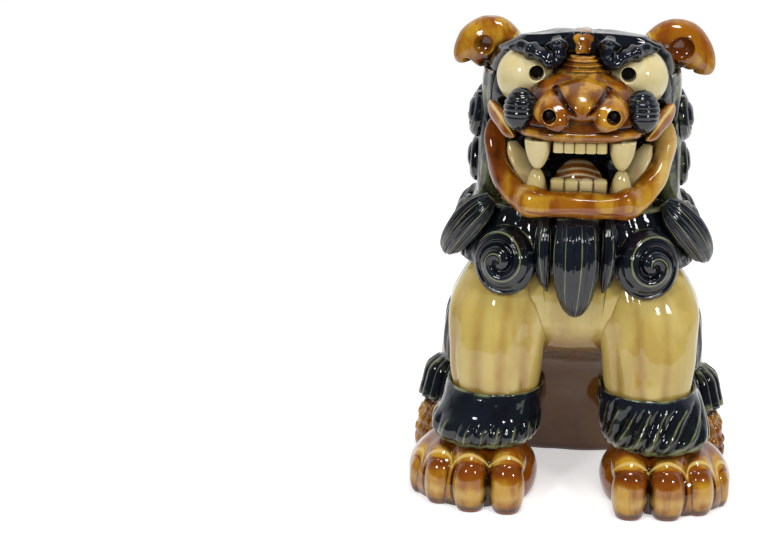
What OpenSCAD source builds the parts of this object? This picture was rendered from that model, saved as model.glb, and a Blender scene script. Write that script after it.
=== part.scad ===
// Seated guardian lion of glazed stoneware, mouth open.
// Sizes are in millimetres. +Z is up and the lion faces -Y.
// The origin is on the ground under the middle of the statue.
// Left and right are those of somebody who looks the lion in the face.
//
// The big masses are stacks of rounded-square rings. Each smaller piece of clay is drawn
// as if it ran into the mass under it, and each of its points that lies inside that mass
// is moved out to its surface. So every piece lies on the one below, as luted clay does.

/* [Body] */
// Height of the joint between body and head
neck_z = 150; // [146:1:156]
// Half the width of the trunk
trunk_w = 50; // [48:1:52]
// How far the rump reaches behind the middle
rump_y = 70; // [66:1:74]
// Thickness of the clay wall of body and head
wall = 7; // [5:0.5:9]

/* [Legs] */
// Distance of a foreleg from the middle plane
leg_x = 42; // [41:0.5:44]
// Half the width of a foreleg at its thickest
leg_r = 27; // [25:0.5:28]
// Depth of the grooves down a foreleg
leg_groove = 0.7; // [0:0.1:1.2]
// Height of the top of a forepaw, on which foreleg and cuff stand
paw_z = 32; // [30:1:34]
// Height of the upper edge of a forecuff
cuff_z = 58; // [54:1:62]
// Depth of the flutes of the cuffs
cuff_flute = 1.1; // [0.4:0.1:1.5]

/* [Head] */
// Half the width of the head at the eyes
skull_w = 49; // [47:0.5:51]
// Radius of the eyeball
eye_r = 15; // [14:0.5:16]
// Bore of a pupil
pupil_d = 7; // [4:0.5:8]
// Bore of a nostril
nostril_d = 6.5; // [4:0.5:7.5]
// Radius of the roll of the lower lip
lip_r = 6.5; // [6:0.5:7]
// Length of an upper fang below the lip
upper_fang = 14.5; // [10:0.5:15]
// Length of a lower fang above the lip
lower_fang = 11.5; // [8:0.5:12]
// Radius of the hollow of an ear
ear_hollow = 6.5; // [5:0.5:8]

/* [Mane] */
// Radius of the two scrolls on the chest
scroll_r = 17.5; // [15:0.5:18]
// Turns of a scroll
scroll_turns = 1.75; // [1:0.25:2]
// Radius of the curls in the mane
curl_r = 12; // [9:0.5:12.5]
// How far the beard hangs below the chin
beard_len = 49; // [40:1:54]
// Height of the tail above the ground
tail_z = 112; // [100:1:120]

/* [Hidden] */
BALL = 48;
SKULL_N = 28;
seat = 0.3;
far = 400;
head_h = 84;
eye_x = 27.5;
eye_y = -32.5;
eye_z = neck_z + 65.5;
pupil_x = 22.5;
pupil_z = neck_z + 69;
nostril_x = 15.3;
nostril_z = neck_z + 53.3;
lip_z = neck_z + 40;
gum_z = neck_z + 12;
floor_z = neck_z + 6;
mouth_w = 35;

// ---- curves --------------------------------------------------------------------

// Index of the last row of a table whose first value lies under t
function row(tab, t, i = 0) = (i >= len(tab) - 2 || t < tab[i + 1][0]) ? i : row(tab, t, i + 1);

// Mean slope of the table around row i, as a vector with every column
function slope(tab, i) =
  let (a = tab[max(i - 1, 0)], b = tab[min(i + 1, len(tab) - 1)])
  (b - a) / (b[0] - a[0]);

// Smooth curve through the rows [t, v, v, ...] of a table
function curve(tab, t) =
  let (i = row(tab, t), a = tab[i], b = tab[i + 1], h = b[0] - a[0], s = (t - a[0]) / h, r = 1 - s)
  a * (1 + 2 * s) * r * r + slope(tab, i) * h * s * r * r
  + b * s * s * (3 - 2 * s) + slope(tab, i + 1) * h * s * s * (s - 1);

function unit(v) = v / norm(v);
function span(tab) = tab[len(tab) - 1][0] - tab[0][0];

// ---- masses made of rings ------------------------------------------------------

// A mass is [squareness, table of rings [height, x, y, half width, half depth]]
function slab(z, w, front, back) = [z, 0, (front + back) / 2, w, (back - front) / 2];

// Distance from the middle of a ring to its edge, at an angle from straight ahead
function reach(q, m, a) = pow(pow(abs(sin(a)) / q[3], m) + pow(abs(cos(a)) / q[4], m), -1 / m);

// Point of a mass at an angle from straight ahead, moved out by some millimetres
function edge(mass, a, z, out = 0) =
  let (q = curve(mass[1], z), r = reach(q, mass[0], a) + out)
  [q[1] + r * sin(a), q[2] - r * cos(a), z];

// Point moved out to the surface of a mass where it lies inside
function clear_of(mass, p, gap = seat) =
  let (t = mass[1], z = p[2])
  (z < t[0][0] || z > t[len(t) - 1][0]) ? p
  : let (q = curve(t, z), v = [p[0] - q[1], p[1] - q[2]], a = atan2(v[0], -v[1]), r = reach(q, mass[0], a) + gap)
    norm(v) >= r ? p : [q[1] + r * sin(a), q[2] - r * cos(a), z];

function clear_of_ball(c, r, p, gap = seat) =
  let (v = p - c)
  norm(v) >= r + gap ? p : c + v * (r + gap) / norm(v);

function mirrored(p) = [-p[0], p[1], p[2]];

// Heights in equal steps over a mass, or over a part of it
function heights(mass, steps, z0 = undef, z1 = undef) =
  let (t = mass[1], a = is_undef(z0) ? t[0][0] : z0, b = is_undef(z1) ? t[len(t) - 1][0] : z1)
  [for (k = [0 : steps]) a + (b - a) * k / steps];

// Ring of n points round a mass, drawn in by a wall
function ring(mass, z, n, in = 0) = [for (i = [0 : n - 1]) edge(mass, 360 * (i + 0.5) / n, z, -in)];

// Skin over a list of rings with equal counts. It runs back to the first ring if it is
// a loop, and is otherwise closed by a fan at each end.
module skin(rings, loop = false) {
  n = len(rings[0]);
  m = len(rings);
  last = loop ? m - 1 : m - 2;
  sides = [
    for (j = [0 : last])
      for (i = [0 : n - 1])
        let (a = j * n + i, b = j * n + (i + 1) % n, c = (j + 1) % m * n + i, d = (j + 1) % m * n + (i + 1) % n)
          each [[a, c, d], [a, d, b]]
  ];
  ones = [for (i = [0 : n - 1]) 1];
  ends = [ones * rings[0] / n, ones * rings[m - 1] / n];
  fans = [
    for (i = [0 : n - 1])
      each [[m * n, i, (i + 1) % n], [m * n + 1, (m - 1) * n + (i + 1) % n, (m - 1) * n + i]]
  ];
  if (loop) {
    polyhedron([for (r = rings) each r], sides, convexity = 8);
  } else {
    polyhedron(concat([for (r = rings) each r], ends), concat(sides, fans), convexity = 8);
  }
}

// ---- bars and buttons ----------------------------------------------------------

// Round bar along a table [t, x, y, z, half width, half depth], its depth along "up".
// Lobes run along it, and clear moves its points out of what it lies on.
module bar(tab, up, steps, n, lobes = 0, lobe = 0, clear = function(p) p) {
  t0 = tab[0][0];
  e = span(tab) / 100;
  skin([
    for (k = [0 : steps])
      let (
        t = t0 + span(tab) * k / steps,
        q = curve(tab, t),
        qa = curve(tab, max(t - e, t0)),
        qb = curve(tab, min(t + e, t0 + span(tab))),
        d = unit([qb[1] - qa[1], qb[2] - qa[2], qb[3] - qa[3]]),
        u = unit(cross(up, d)),
        v = cross(d, u)
      )
      [for (i = [0 : n - 1])
        let (a = 360 * i / n, g = 1 + lobe * cos(lobes * a))
        clear([q[1], q[2], q[3]] + g * (q[4] * cos(a) * u + q[5] * sin(a) * v))]
  ]);
}

// Height of a curl over its foot, at a share s of its radius and an angle
function curl_rise(s, a, turns) = sqrt(1 - s * s) * (0.82 + 0.18 * cos(360 * turns * s + a));

// Domed curl with a spiral on it that lies on a mass. Angle and z say where its middle is.
module curl(mass, angle, z, r, h, turns, n = 11, rows = 4, spin = 0, clear = function(p) p) {
  mid = edge(mass, angle, z);
  across = unit(edge(mass, angle + 2, z) - edge(mass, angle - 2, z));
  climb = unit(edge(mass, angle, z + 2) - edge(mass, angle, z - 2));
  face = unit(cross(across, climb));
  wide = norm(edge(mass, angle + 2, z) - edge(mass, angle - 2, z)) / 4;
  function foot(s, a) = edge(mass, angle + s * r * cos(a) / wide, z + s * r * sin(a) * climb[2], seat);
  skin(concat(
    [for (s = [0.2, 1]) [for (i = [0 : n - 1]) clear(foot(s, 360 * i / n))]],
    [for (k = [0 : rows - 1])
      let (s = k == 0 ? 0.97 : 1 - k / (rows + 0.2))
      [for (i = [0 : n - 1])
        let (a = 360 * i / n)
        clear(foot(s, a) + h * curl_rise(s, a + spin, turns) * face)]]
  ));
}

// Ball with three half axes
module blob(c, r, turn = [0, 0, 0]) translate(c) rotate(turn) scale(r) sphere(r = 1, $fn = BALL);

// Right-hand form, mirrored for the left
module sided(side) mirror([side < 0 ? 1 : 0, 0, 0]) children();

// Space above the ground
module above_ground() translate([-far / 2, -far / 2, 0]) cube(far);

// ---- trunk ---------------------------------------------------------------------

trunk = [2.5, [
  slab(0, trunk_w, -1, rump_y - 4),
  slab(30, trunk_w + 2, -6, rump_y),
  slab(50, trunk_w + 2, -11, rump_y - 1),
  slab(63, trunk_w + 2, -22, rump_y - 3),
  slab(76, trunk_w + 1, -44, rump_y - 6),
  slab(90, trunk_w, -54, rump_y - 11),
  slab(106, trunk_w - 1, -56, rump_y - 18),
  slab(122, trunk_w - 3, -52, rump_y - 25),
  slab(136, trunk_w - 6, -46, rump_y - 30),
  slab(neck_z, trunk_w - 10, -38, rump_y - 34)
]];

module body() {
  outer = [for (z = heights(trunk, 13)) ring(trunk, z, 30)];
  inner = [for (z = heights(trunk, 5)) ring(trunk, z, 30, wall)];
  color("#C9B468")
    skin(concat(outer, [for (k = [5 : -1 : 0]) inner[k]]), true);
}

// ---- forelegs ------------------------------------------------------------------

foreleg = [2.15, [
  [paw_z, leg_x - 2, -45, leg_r - 6, 21],
  [45, leg_x - 2, -44, leg_r - 5, 22.5],
  [57, leg_x - 3, -42, leg_r - 4, 25],
  [70, leg_x - 3, -40, leg_r - 2.5, 26],
  [85, leg_x - 3.5, -38, leg_r - 1, 26],
  [99, leg_x - 4.5, -35.5, leg_r, 24.5],
  [110, leg_x - 7, -32.5, leg_r - 2.5, 22.5],
  [120, leg_x - 10, -30, leg_r - 6, 18],
  [128, leg_x - 12, -28, leg_r - 10, 14],
  [134, leg_x - 14, -27, 7, 7]
]];

module foreleg_piece(side) {
  n = 24;
  color("#C9B468")
    sided(side)
      skin([
        for (z = heights(foreleg, 10))
          let (g = leg_groove * sin(180 * (z - paw_z) / span(foreleg[1])))
          [for (i = [0 : n - 1]) clear_of(trunk, edge(foreleg, 360 * i / n, z, g * cos(6 * 360 * i / n)))]
      ]);
}

forecuff = [2.1, [
  [paw_z, leg_x + 2, -50, leg_r, 28],
  [39, leg_x + 1.5, -49.5, leg_r, 28.5],
  [48, leg_x - 0.5, -46, leg_r - 1, 27],
  [cuff_z, leg_x - 2.5, -42.5, leg_r - 1.5, 27.5]
]];

// Sleeve between a fluted mass and the leg inside it
module forecuff_piece(side) {
  n = 36;
  levels = [paw_z, paw_z + 9, paw_z + 18, cuff_z];
  function flute(z, i) = cuff_flute * (i % 2 == 0 ? 1 : -1) * (1 - 0.5 * (z - paw_z) / (cuff_z - paw_z));
  color("#1B2026")
    sided(side)
      skin(concat(
        [for (z = levels)
          [for (i = [0 : n - 1]) clear_of(foreleg, edge(forecuff, 360 * i / n, z, flute(z, i)), leg_groove + seat + 2)]],
        [for (k = [3 : -1 : 0])
          [for (i = [0 : n - 1]) edge(foreleg, 360 * i / n, levels[k], leg_groove + seat)]]
      ), true);
}

// Toes of a paw from the middle outward, [x, y of the tip, half width, height, turn]
fore_toes = [
  [30.5, -90, 10, 27, -3],
  [50, -89, 10, 27, 2],
  [67.5, -81, 9, 25, 12],
  [79, -68, 7.5, 21, 28]
];
hind_toes = [
  [59, -14, 7.5, 23, -2],
  [70.5, -13, 7.5, 23, 4],
  [80, -6, 6.5, 20, 14]
];

// Knuckle behind each claw, of some half length
module knuckles(toes, half) {
  for (q = toes)
    translate([q[0], q[1], 0])
      rotate([0, 0, q[4]])
        blob([0, half + 4, q[3] - 5], [q[2] * 1.02, half, 10]);
}

// Long oval claw segment at the tip of each toe
module claws(toes) {
  for (q = toes)
    translate([q[0], q[1], 0])
      rotate([0, 0, q[4]])
        blob([0, 10.5, q[3] * 0.43], [q[2] * 0.96, 10.5, q[3] * 0.57]);
}

module forepaw() {
  intersection() {
    union() {
      blob([50, -50, 9], [34, 33, 24]);
      knuckles(fore_toes, 17);
    }
    translate([0, -far / 2, 0]) cube([far / 2, far, paw_z]);
  }
}

module forepaw_piece(side) color("#A8520F") sided(side) forepaw();

module foreclaws(side) {
  color("#C8952B")
    sided(side)
      difference() {
        intersection() {
          claws(fore_toes);
          above_ground();
        }
        forepaw();
      }
}

// ---- hindquarters --------------------------------------------------------------

haunch_y = 14;
hock_z = 28;
haunch = [2.6, [
  [0, 54, haunch_y + 22, 20, 22],
  [14, 53, haunch_y + 24, 21, 24],
  [32, 51, haunch_y + 24, 23, 24.5],
  [48, 49, haunch_y + 26.5, 24, 26],
  [64, 46, haunch_y + 24, 22, 27],
  [78, 43, haunch_y + 20, 18, 23],
  [87, 40, haunch_y + 20, 9, 12]
]];

// Thigh, flat in front where the ankle lies on it
module haunch_piece(side) {
  n = 22;
  color("#C9B468")
    sided(side)
      skin([
        for (z = heights(haunch, 7))
          [for (i = [0 : n - 1]) clear_of(trunk, edge(haunch, 360 * i / n, z))]
      ]);
}

module hindpaw() {
  intersection() {
    union() {
      blob([68, 0, 4], [17, 14.6, 24.6]);
      knuckles(hind_toes, 10);
    }
    translate([0, haunch_y - far / 2, 0]) cube([far / 2, far / 2, hock_z]);
  }
}

module hindpaw_piece(side) color("#A8520F") sided(side) hindpaw();

module hindclaws(side) {
  color("#C8952B")
    sided(side)
      difference() {
        intersection() {
          claws(hind_toes);
          above_ground();
        }
        hindpaw();
      }
}

hock = [2.2, [
  [hock_z, 66, 10, 17.5, 16],
  [34, 65, 11, 17, 15.5],
  [44, 63, 13, 16, 14],
  [49, 61, 14, 12, 10]
]];

// Fluted cuff on the hind paw, round the front of the thigh
module hindcuff(side) {
  n = 32;
  color("#1B2026")
    sided(side)
      difference() {
        skin([
          for (z = heights(hock, 3))
            [for (i = [0 : n - 1]) clear_of(trunk, edge(hock, 360 * i / n, z, cuff_flute * (i % 2 == 0 ? 0.7 : -0.7)))]
        ]);
        translate([0, haunch_y - seat, 0]) cube(far);
      }
}

// Flame of fur behind the elbow
module elbow_tuft(side) {
  color("#1B2026")
    sided(side)
      bar([
        [0, 60, 0, 50, 8, 8],
        [1, 59, 0, 60, 10, 9],
        [2, 58, -2, 71, 10.5, 10],
        [3, 56, -2, 86, 9.5, 9],
        [4, 52, 0, 102, 2, 3]
      ], [0, 1, 0], 8, 14, 5, 0.07,
      function(p) clear_of(trunk, clear_of(foreleg, clear_of(forecuff, clear_of(hock, clear_of(haunch, p))))));
}

// Upright tail, a ribbed flame
module tail() {
  z1 = tail_z / 112;
  color("#1B2026")
    bar([
      [0, 0, rump_y + 6, 0, 14, 12],
      [1, 0, rump_y + 8, 24 * z1, 19, 12],
      [2, 0, rump_y + 7, 48 * z1, 22, 12],
      [3, 0, rump_y + 2, 70 * z1, 19, 10],
      [4, 0, rump_y - 1, 88 * z1, 13, 9],
      [5, 0, rump_y - 3, 102 * z1, 6, 7],
      [6, 0, rump_y - 3, tail_z, 1, 2]
    ], [0, 1, 0], 10, 18, 6, 0.07,
    function(p) let (q = clear_of(trunk, p)) [q[0], q[1], max(q[2], 0)]);
}

module spine_curls() {
  color("#1B2026")
    for (a = [-26, 26])
      curl(trunk, 180 + a, 92, curl_r, curl_r * 0.5, 1.5);
}

// ---- head ----------------------------------------------------------------------

skull = [2.8, [
  slab(neck_z, skull_w - 9, -38, 36),
  slab(neck_z + 12, skull_w - 6, -37, 40),
  slab(neck_z + 28, skull_w - 3, -38, 43),
  slab(neck_z + 45, skull_w - 0.5, -40, 42),
  slab(neck_z + 58, skull_w, -40, 36),
  slab(neck_z + head_h - 17, skull_w - 1.5, -39.5, 24),
  slab(neck_z + head_h - 10.5, skull_w - 4.5, -38.5, 10),
  slab(neck_z + head_h - 4, skull_w - 10, -37, -6),
  slab(neck_z + head_h, skull_w - 18, -34, -20)
]];

// Height of the crown over a point inside the head, between two heights that hold it
function crown(p, lo, hi, k = 8) =
  let (m = (lo + hi) / 2, q = [p[0], p[1], m])
  k == 0 ? hi : clear_of(skull, q, 0) == q ? crown(p, lo, m, k - 1) : crown(p, m, hi, k - 1);

// Point moved out of the head, up or sideways, whichever is nearer
function clear_of_skull(p) =
  let (q = clear_of(skull, p))
  q == p ? p
  : let (z = crown(p, p[2], neck_z + head_h) + seat)
    z - p[2] < norm(q - p) ? [p[0], p[1], z] : q;

module eyeball(side) sided(side) translate([eye_x, eye_y, eye_z]) sphere(r = eye_r, $fn = BALL);

function clear_of_eyes(p, gap = seat) =
  let (c = [eye_x, eye_y, eye_z])
  clear_of_ball(mirrored(c), eye_r, clear_of_ball(c, eye_r, p, gap), gap);

// Bores of the pupils and the nostrils, from the face into the hollow head
module pupil_bore(side) {
  translate([side * pupil_x, 0, pupil_z])
    rotate([90, 0, 0])
      cylinder(d = pupil_d, h = 60, $fn = 32);
}

module nostril_bore(side) {
  translate([side * nostril_x, -20, nostril_z])
    rotate([90, 0, 0])
      cylinder(d = nostril_d, h = 70, $fn = 32);
}

module head() {
  inside = [for (q = skull[1]) if (q[0] < neck_z + head_h - wall - 5) q[0]];
  color("#1B2026")
    difference() {
      skin(concat(
        [for (k = [len(inside) - 1 : -1 : 0]) ring(skull, inside[k], SKULL_N, wall)],
        [for (q = skull[1]) ring(skull, q[0], SKULL_N)]
      ));
      translate([-mouth_w, -80, floor_z]) cube([2 * mouth_w, 68, lip_z - 2 - floor_z]);
      for (side = [-1, 1]) {
        eyeball(side);
        pupil_bore(side);
        nostril_bore(side);
      }
    }
}

module eye(side) {
  color("#D2C07E")
    difference() {
      eyeball(side);
      pupil_bore(side);
    }
}

module ear(side) {
  color("#C8952B")
    sided(side)
      difference() {
        bar([
          [0, skull_w - 15, 8, neck_z + 74, 7, 7],
          [1, skull_w - 6, 10, neck_z + 75.5, 12, 9],
          [2, skull_w + 2, 11, neck_z + 74.5, 13, 10],
          [3, skull_w + 9, 11, neck_z + 70, 10.5, 8],
          [4, skull_w + 13, 11, neck_z + 63.5, 5, 5],
          [5, skull_w + 13.5, 11, neck_z + 59, 1, 1]
        ], [0, -1, 0], 9, 14, 0, 0, function(p) clear_of_skull(clear_of(mane, p)));
        translate([skull_w + 2, side < 0 ? -2 : 0.5, neck_z + 74]) sphere(r = ear_hollow, $fn = BALL);
      }
}

// Knobbly coil over the eye, rolled up to a ball beside the forehead
module brow(side) {
  color("#1B2026")
    sided(side)
      bar([
        [0, 13, -39.5, neck_z + 85, 1.5, 1.5],
        [1, 12.5, -41, neck_z + 81.5, 5, 4.8],
        [2, 12.5, -43.5, neck_z + 76.5, 2.8, 3],
        [3, 16, -44.5, neck_z + 75, 3.6, 3.8],
        [4, 20.5, -44.5, neck_z + 77.5, 2.6, 3],
        [5, 25, -43, neck_z + 79.5, 3.4, 3.6],
        [6, 30, -40, neck_z + 81, 2.2, 2.6],
        [7, 36, -37, neck_z + 80, 1, 1.2]
      ], [0, -1, 1], 21, 8, 0, 0, function(p) clear_of_skull(clear_of_eyes(p)));
}

// Stripe from the crown over the brow to the nose
module forehead_stripe() {
  top = neck_z + head_h;
  color("#C8952B")
    bar([
      [0, 0, -2, top - 5, 1, 1],
      [1, 0, -10, top - 2.5, 3, 2.5],
      [2, 0, -22, top + 0.5, 3.8, 3],
      [3, 0, -33, top + 0.5, 4, 3],
      [4, 0, -37.5, top - 2.5, 3, 2.6],
      [5, 0, -39.5, top - 6, 1.5, 1.5]
    ], [0, 0, 1], 10, 10, 0, 0, function(p) clear_of_skull(p));
}

muzzle = [2.8, [
  slab(lip_z, 29, -70, -25),
  slab(lip_z + 4, 30.5, -71.5, -25),
  slab(lip_z + 9, 29.5, -69, -25),
  slab(lip_z + 15, 28.5, -65.5, -25),
  slab(lip_z + 20, 26.5, -61.5, -25),
  slab(lip_z + 24, 23, -57.5, -25),
  slab(lip_z + 28, 16, -52.5, -25),
  slab(lip_z + 30, 12, -50, -25)
]];

function off_the_face(p, gap = seat) = clear_of(skull, clear_of_eyes(p, gap));

module muzzle_piece() {
  color("#A8520F")
    difference() {
      skin([
        for (q = muzzle[1])
          [for (p = ring(muzzle, q[0], 32)) off_the_face(p, 0.8)]
      ]);
      for (side = [-1, 1])
        nostril_bore(side);
    }
}

// Folded skin between the eyes
module nose_bridge() {
  color("#A8520F")
    skin([
      for (k = [0 : 9])
        let (z = lip_z + 30.4 + k * 0.76, g = k % 3 == 1 ? 1.2 : 0)
        [for (i = [0 : 11])
          let (a = 30 * i)
          off_the_face([(12 - k * 0.65 + g) * sin(a), -40 - (10.5 - k * 0.4 + g) * cos(a), z])]
    ]);
}

// Bulb and wings of the nose, as a height over the front of the muzzle
function bump(x, z, cx, cz, rx, rz) = max(0, 1 - pow((x - cx) / rx, 2) - pow((z - cz) / rz, 2));

function nose_rise(x, z) =
  max(11 * pow(bump(x, z, 0, 60.5, 11, 11), 0.6),
  max(8 * pow(bump(x, z, 15, 54, 10.5, 9.5), 0.5), 8 * pow(bump(x, z, -15, 54, 10.5, 9.5), 0.5)));

module nose() {
  n = 24;
  rows = 5;
  function spot(s, i) = let (a = 360 * i / n) [23.5 * s * cos(a), 54 + 9 * s * sin(a) + 6 * s * max(0, sin(a)) * (1 - pow(cos(a), 2))];
  function front(x, z) =
    let (q = curve(muzzle[1], z), m = muzzle[0])
    q[2] - q[4] * pow(max(0, 1 - pow(min(1, abs(x) / q[3]), m)), 1 / m) - 0.3;
  color("#C8952B")
    difference() {
      skin(concat(
        [for (s = [0.15, 0.4, 0.6, 0.8, 1]) [for (i = [0 : n - 1]) let (p = spot(s, i), z = neck_z + p[1]) [p[0], front(p[0], z), z]]],
        [for (k = [0 : rows - 1])
          let (s = 1 - k / rows)
          [for (i = [0 : n - 1])
            let (p = spot(s, i), z = neck_z + p[1])
            [p[0], front(p[0], z) - 1 - nose_rise(p[0], p[1]), z]]]
      ));
      for (side = [-1, 1])
        nostril_bore(side);
    }
}

// Ribbed oval pad beside the nose
module whisker_pad(side) {
  color("#1B2026")
    sided(side)
      skin([
        for (k = [0 : 12])
          let (s = -1 + 2 * k / 12, w = sqrt(max(0.02, 1 - s * s)), g = k % 2 == 0 || k < 4 ? 1 : 0.92)
          [for (i = [0 : 9])
            let (a = 36 * i, p = [29.3 + 8.5 * g * w * sin(a), -57.5 - 8.5 * g * w * cos(a), neck_z + 53.5 + 11 * s])
            off_the_face(clear_of(muzzle, p))]
      ]);
}

// Fold of the upper lip that runs back from the muzzle to the corner of the mouth
module lip_corner(side) {
  color("#A8520F")
    sided(side)
      bar([
        [0, 32.5, -58, lip_z, 1, 1],
        [1, 35, -53, lip_z + 1.5, 3.2, 3.6],
        [2, 38, -46, lip_z + 4.5, 3.8, 4],
        [3, 42, -37, lip_z + 7.5, 3.8, 4],
        [4, 44.5, -30, lip_z + 9.5, 2.6, 3],
        [5, 45.5, -26, lip_z + 10, 1, 1]
      ], [0, 0, 1], 10, 10, 0, 0, function(p) clear_of_skull(clear_of(muzzle, p)));
}

// ---- mouth ---------------------------------------------------------------------

// Roll of the lower lip, that runs up into the corners of the mouth
module lip_roll() {
  half = [
    [0, 0, -62, neck_z + 7.2, lip_r, 7],
    [1, 13, -61.5, neck_z + 7, lip_r, 7],
    [2, 22, -59, neck_z + 7.5, lip_r + 0.3, 7],
    [3, 30, -52.5, neck_z + 10, lip_r + 0.3, 6.5],
    [4, 36.5, -45.5, neck_z + 15.5, lip_r - 0.3, 6],
    [5, 41, -38, neck_z + 24, lip_r - 0.7, 5.5],
    [6, 43, -33, neck_z + 33, lip_r - 1.2, 5],
    [7, 43.5, -31, neck_z + 40, lip_r - 3, 3.5],
    [8, 43.5, -30.5, neck_z + 43.5, 1.2, 1.2]
  ];
  other = [for (i = [8 : -1 : 1]) let (q = half[i]) [-q[0], -q[1], q[2], q[3], q[4], q[5]]];
  bar(concat(other, half), [0, 1, -0.3], 28, 10, 0, 0, function(p) clear_of_skull(p));
}

// Floor of the mouth, from the lip back to the head
module mouth_floor() {
  translate([0, 0, neck_z])
    linear_extrude(height = floor_z - neck_z)
      polygon([[-34, -39.5], [-34, -46], [-27, -53], [-14, -60], [14, -60], [27, -53], [34, -46], [34, -39.5]]);
}

module lower_jaw() {
  color("#A8520F")
    difference() {
      union() {
        lip_roll();
        mouth_floor();
      }
      lower_tooth_row();
      for (side = [-1, 1])
        lower_fang_peg(side);
    }
}

// Rounded peg that stands on its gum, or hangs from it
module tooth(x, y, z, r, h, tip, up) {
  translate([x, y, z])
    mirror([0, 0, up ? 0 : 1])
      rotate_extrude($fn = 32)
        polygon(concat(
          [[0, 0], [r, 0]],
          [for (a = [15 : 15 : 75]) [tip + (r - tip) * cos(a), h * sin(a)]],
          [[0, h]]
        ));
}

module upper_teeth() {
  color("#D8CF96")
    for (i = [-2 : 2])
      translate([i * 5.2, -66 + abs(i) * 0.4, lip_z - 6])
        linear_extrude(height = 6)
          offset(r = 1) square([3, 2.4], center = true);
}

module upper_fang_piece(side) color("#D8CF96") tooth(side * 20.4, -63, lip_z, 6.6, upper_fang, 1.2, false);

// Teeth and fangs of the lower jaw stand on the floor of the mouth, in sockets of the lip
module lower_tooth_row() {
  for (i = [-1.5 : 1 : 1.5])
    translate([i * 7, -57.5 + abs(i) * 0.6, floor_z])
      linear_extrude(height = 13.5)
        offset(r = 1.2) square([4.4, 4], center = true);
}

module lower_fang_peg(side) {
  tooth(side * 20.8, -55.5, floor_z, 6.2, gum_z - floor_z + lower_fang, 1.4, true);
}

module lower_teeth() color("#D8CF96") lower_tooth_row();

module lower_fang_piece(side) color("#D8CF96") lower_fang_peg(side);

module tongue() {
  color("#A8520F")
    intersection() {
      blob([0, -41, floor_z], [14, 12.5, 19.5]);
      translate([-20, -80, floor_z]) cube([40, 60, 30]);
    }
}

// Skin inside the corner of the mouth, between the lip roll and the head
module cheek(side) {
  outer = [
    [0, 27, -41.5, neck_z + 14, 4],
    [1, 31, -38, neck_z + 20, 4.8],
    [2, 34.3, -34.5, neck_z + 26.5, 4.8],
    [3, 36.8, -31.5, neck_z + 32, 2.5]
  ];
  color("#B79B78")
    sided(side)
      skin([
        for (k = [0 : 7])
          let (q = curve(outer, k * 3 / 7))
          [for (i = [0 : 7])
            let (a = 45 * i)
            clear_of_skull([q[1] - 3.2 + q[4] * cos(a), q[2] - 2 - 3 * cos(a) + q[4] * sin(a), q[3]])]
      ]);
}

// ---- beard and mane ------------------------------------------------------------

// The shoulders as one mass, trunk and forelegs together, that the collar lies on
shoulders = [3.2, [
  slab(neck_z - 30, trunk_w + 10, -57, rump_y - 22),
  slab(neck_z - 22, trunk_w + 7, -53.5, rump_y - 26),
  slab(neck_z - 11, trunk_w, -46.5, rump_y - 30),
  slab(neck_z, trunk_w - 7, -39, rump_y - 33)
]];

// Hair round the neck, under the jaw
collar = [2.9, [
  slab(neck_z - 30, trunk_w + 12, -59, rump_y - 18),
  slab(neck_z - 22, trunk_w + 11.5, -59, rump_y - 13),
  slab(neck_z - 11, trunk_w + 7.5, -54.5, rump_y - 11),
  slab(neck_z, trunk_w + 3, -49, rump_y - 13)
]];

module collar_piece() {
  n = 32;
  color("#1B2026")
    skin(concat(
      [for (z = heights(collar, 4)) ring(collar, z, n)],
      [for (z = [neck_z, neck_z - 11, neck_z - 22, neck_z - 30]) ring(shoulders, z, n, -seat)]
    ), true);
}

// Hair behind the face, from ear to ear
mane = [2.8, [
  slab(neck_z, skull_w + 4, -50, rump_y - 13),
  slab(neck_z + 18, skull_w + 4, -42, rump_y - 13),
  slab(neck_z + 36, skull_w + 4, -36, rump_y - 16),
  slab(neck_z + 48, skull_w + 3, -30, rump_y - 22),
  slab(neck_z + 58, skull_w + 2, -27, rump_y - 31),
  slab(neck_z + 66, skull_w + 0.5, -24, rump_y - 42)
]];

// Coat that stays two millimetres thick where the head comes near its outside
module mane_piece() {
  first = 5;
  inside = [for (i = [4 : -1 : 0]) max(skull[1][i][0], neck_z + seat)];
  color("#1B2026")
    skin([
      for (k = [first : SKULL_N - 1 - first])
        let (a = 360 * (k + 0.5) / SKULL_N)
        concat(
          [for (z = heights(mane, 5, neck_z + seat)) clear_of(skull, edge(mane, a, z), 2)],
          [edge(skull, a, neck_z + 65.8, seat)],
          [for (z = inside) edge(skull, a, z, seat)]
        )
    ]);
}

// Point moved out of the collar, of its lower rim too, and of the trunk
function off_the_collar(p) =
  let (q = clear_of(collar, [p[0], p[1], max(p[2], neck_z - 30)]))
  clear_of(trunk, p[2] > neck_z - 36 ? [q[0], q[1], p[2]] : p);

function beard_row(t, x, y, down, w, d) = [t, x, y, neck_z - 2 - beard_len * down, w, d];

module beard() {
  color("#1B2026")
    bar([
      beard_row(0, 0, -56, 0, 10, 6),
      beard_row(1, 0, -60, 0.2, 11.5, 8.5),
      beard_row(2, 0, -62, 0.45, 11.5, 9.5),
      beard_row(3, 0, -62, 0.7, 10, 8.5),
      beard_row(4, 0, -60, 0.9, 6.5, 6.5),
      beard_row(5, 0, -58, 1, 2, 2.5)
    ], [0, -1, 0], 9, 20, 7, 0.06,
    function(p) off_the_collar(p));
}

module beard_lock(side) {
  color("#1B2026")
    sided(side)
      bar([
        beard_row(0, 15.5, -52, 0, 3, 4),
        beard_row(1, 16.2, -56, 0.2, 4.5, 6),
        beard_row(2, 16.2, -58, 0.4, 4.5, 6),
        beard_row(3, 15.5, -58, 0.6, 3.5, 5),
        beard_row(4, 14, -56, 0.76, 1, 2)
      ], [0, -1, 0], 8, 10, 0, 0,
      function(p) off_the_collar(p));
}

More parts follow.
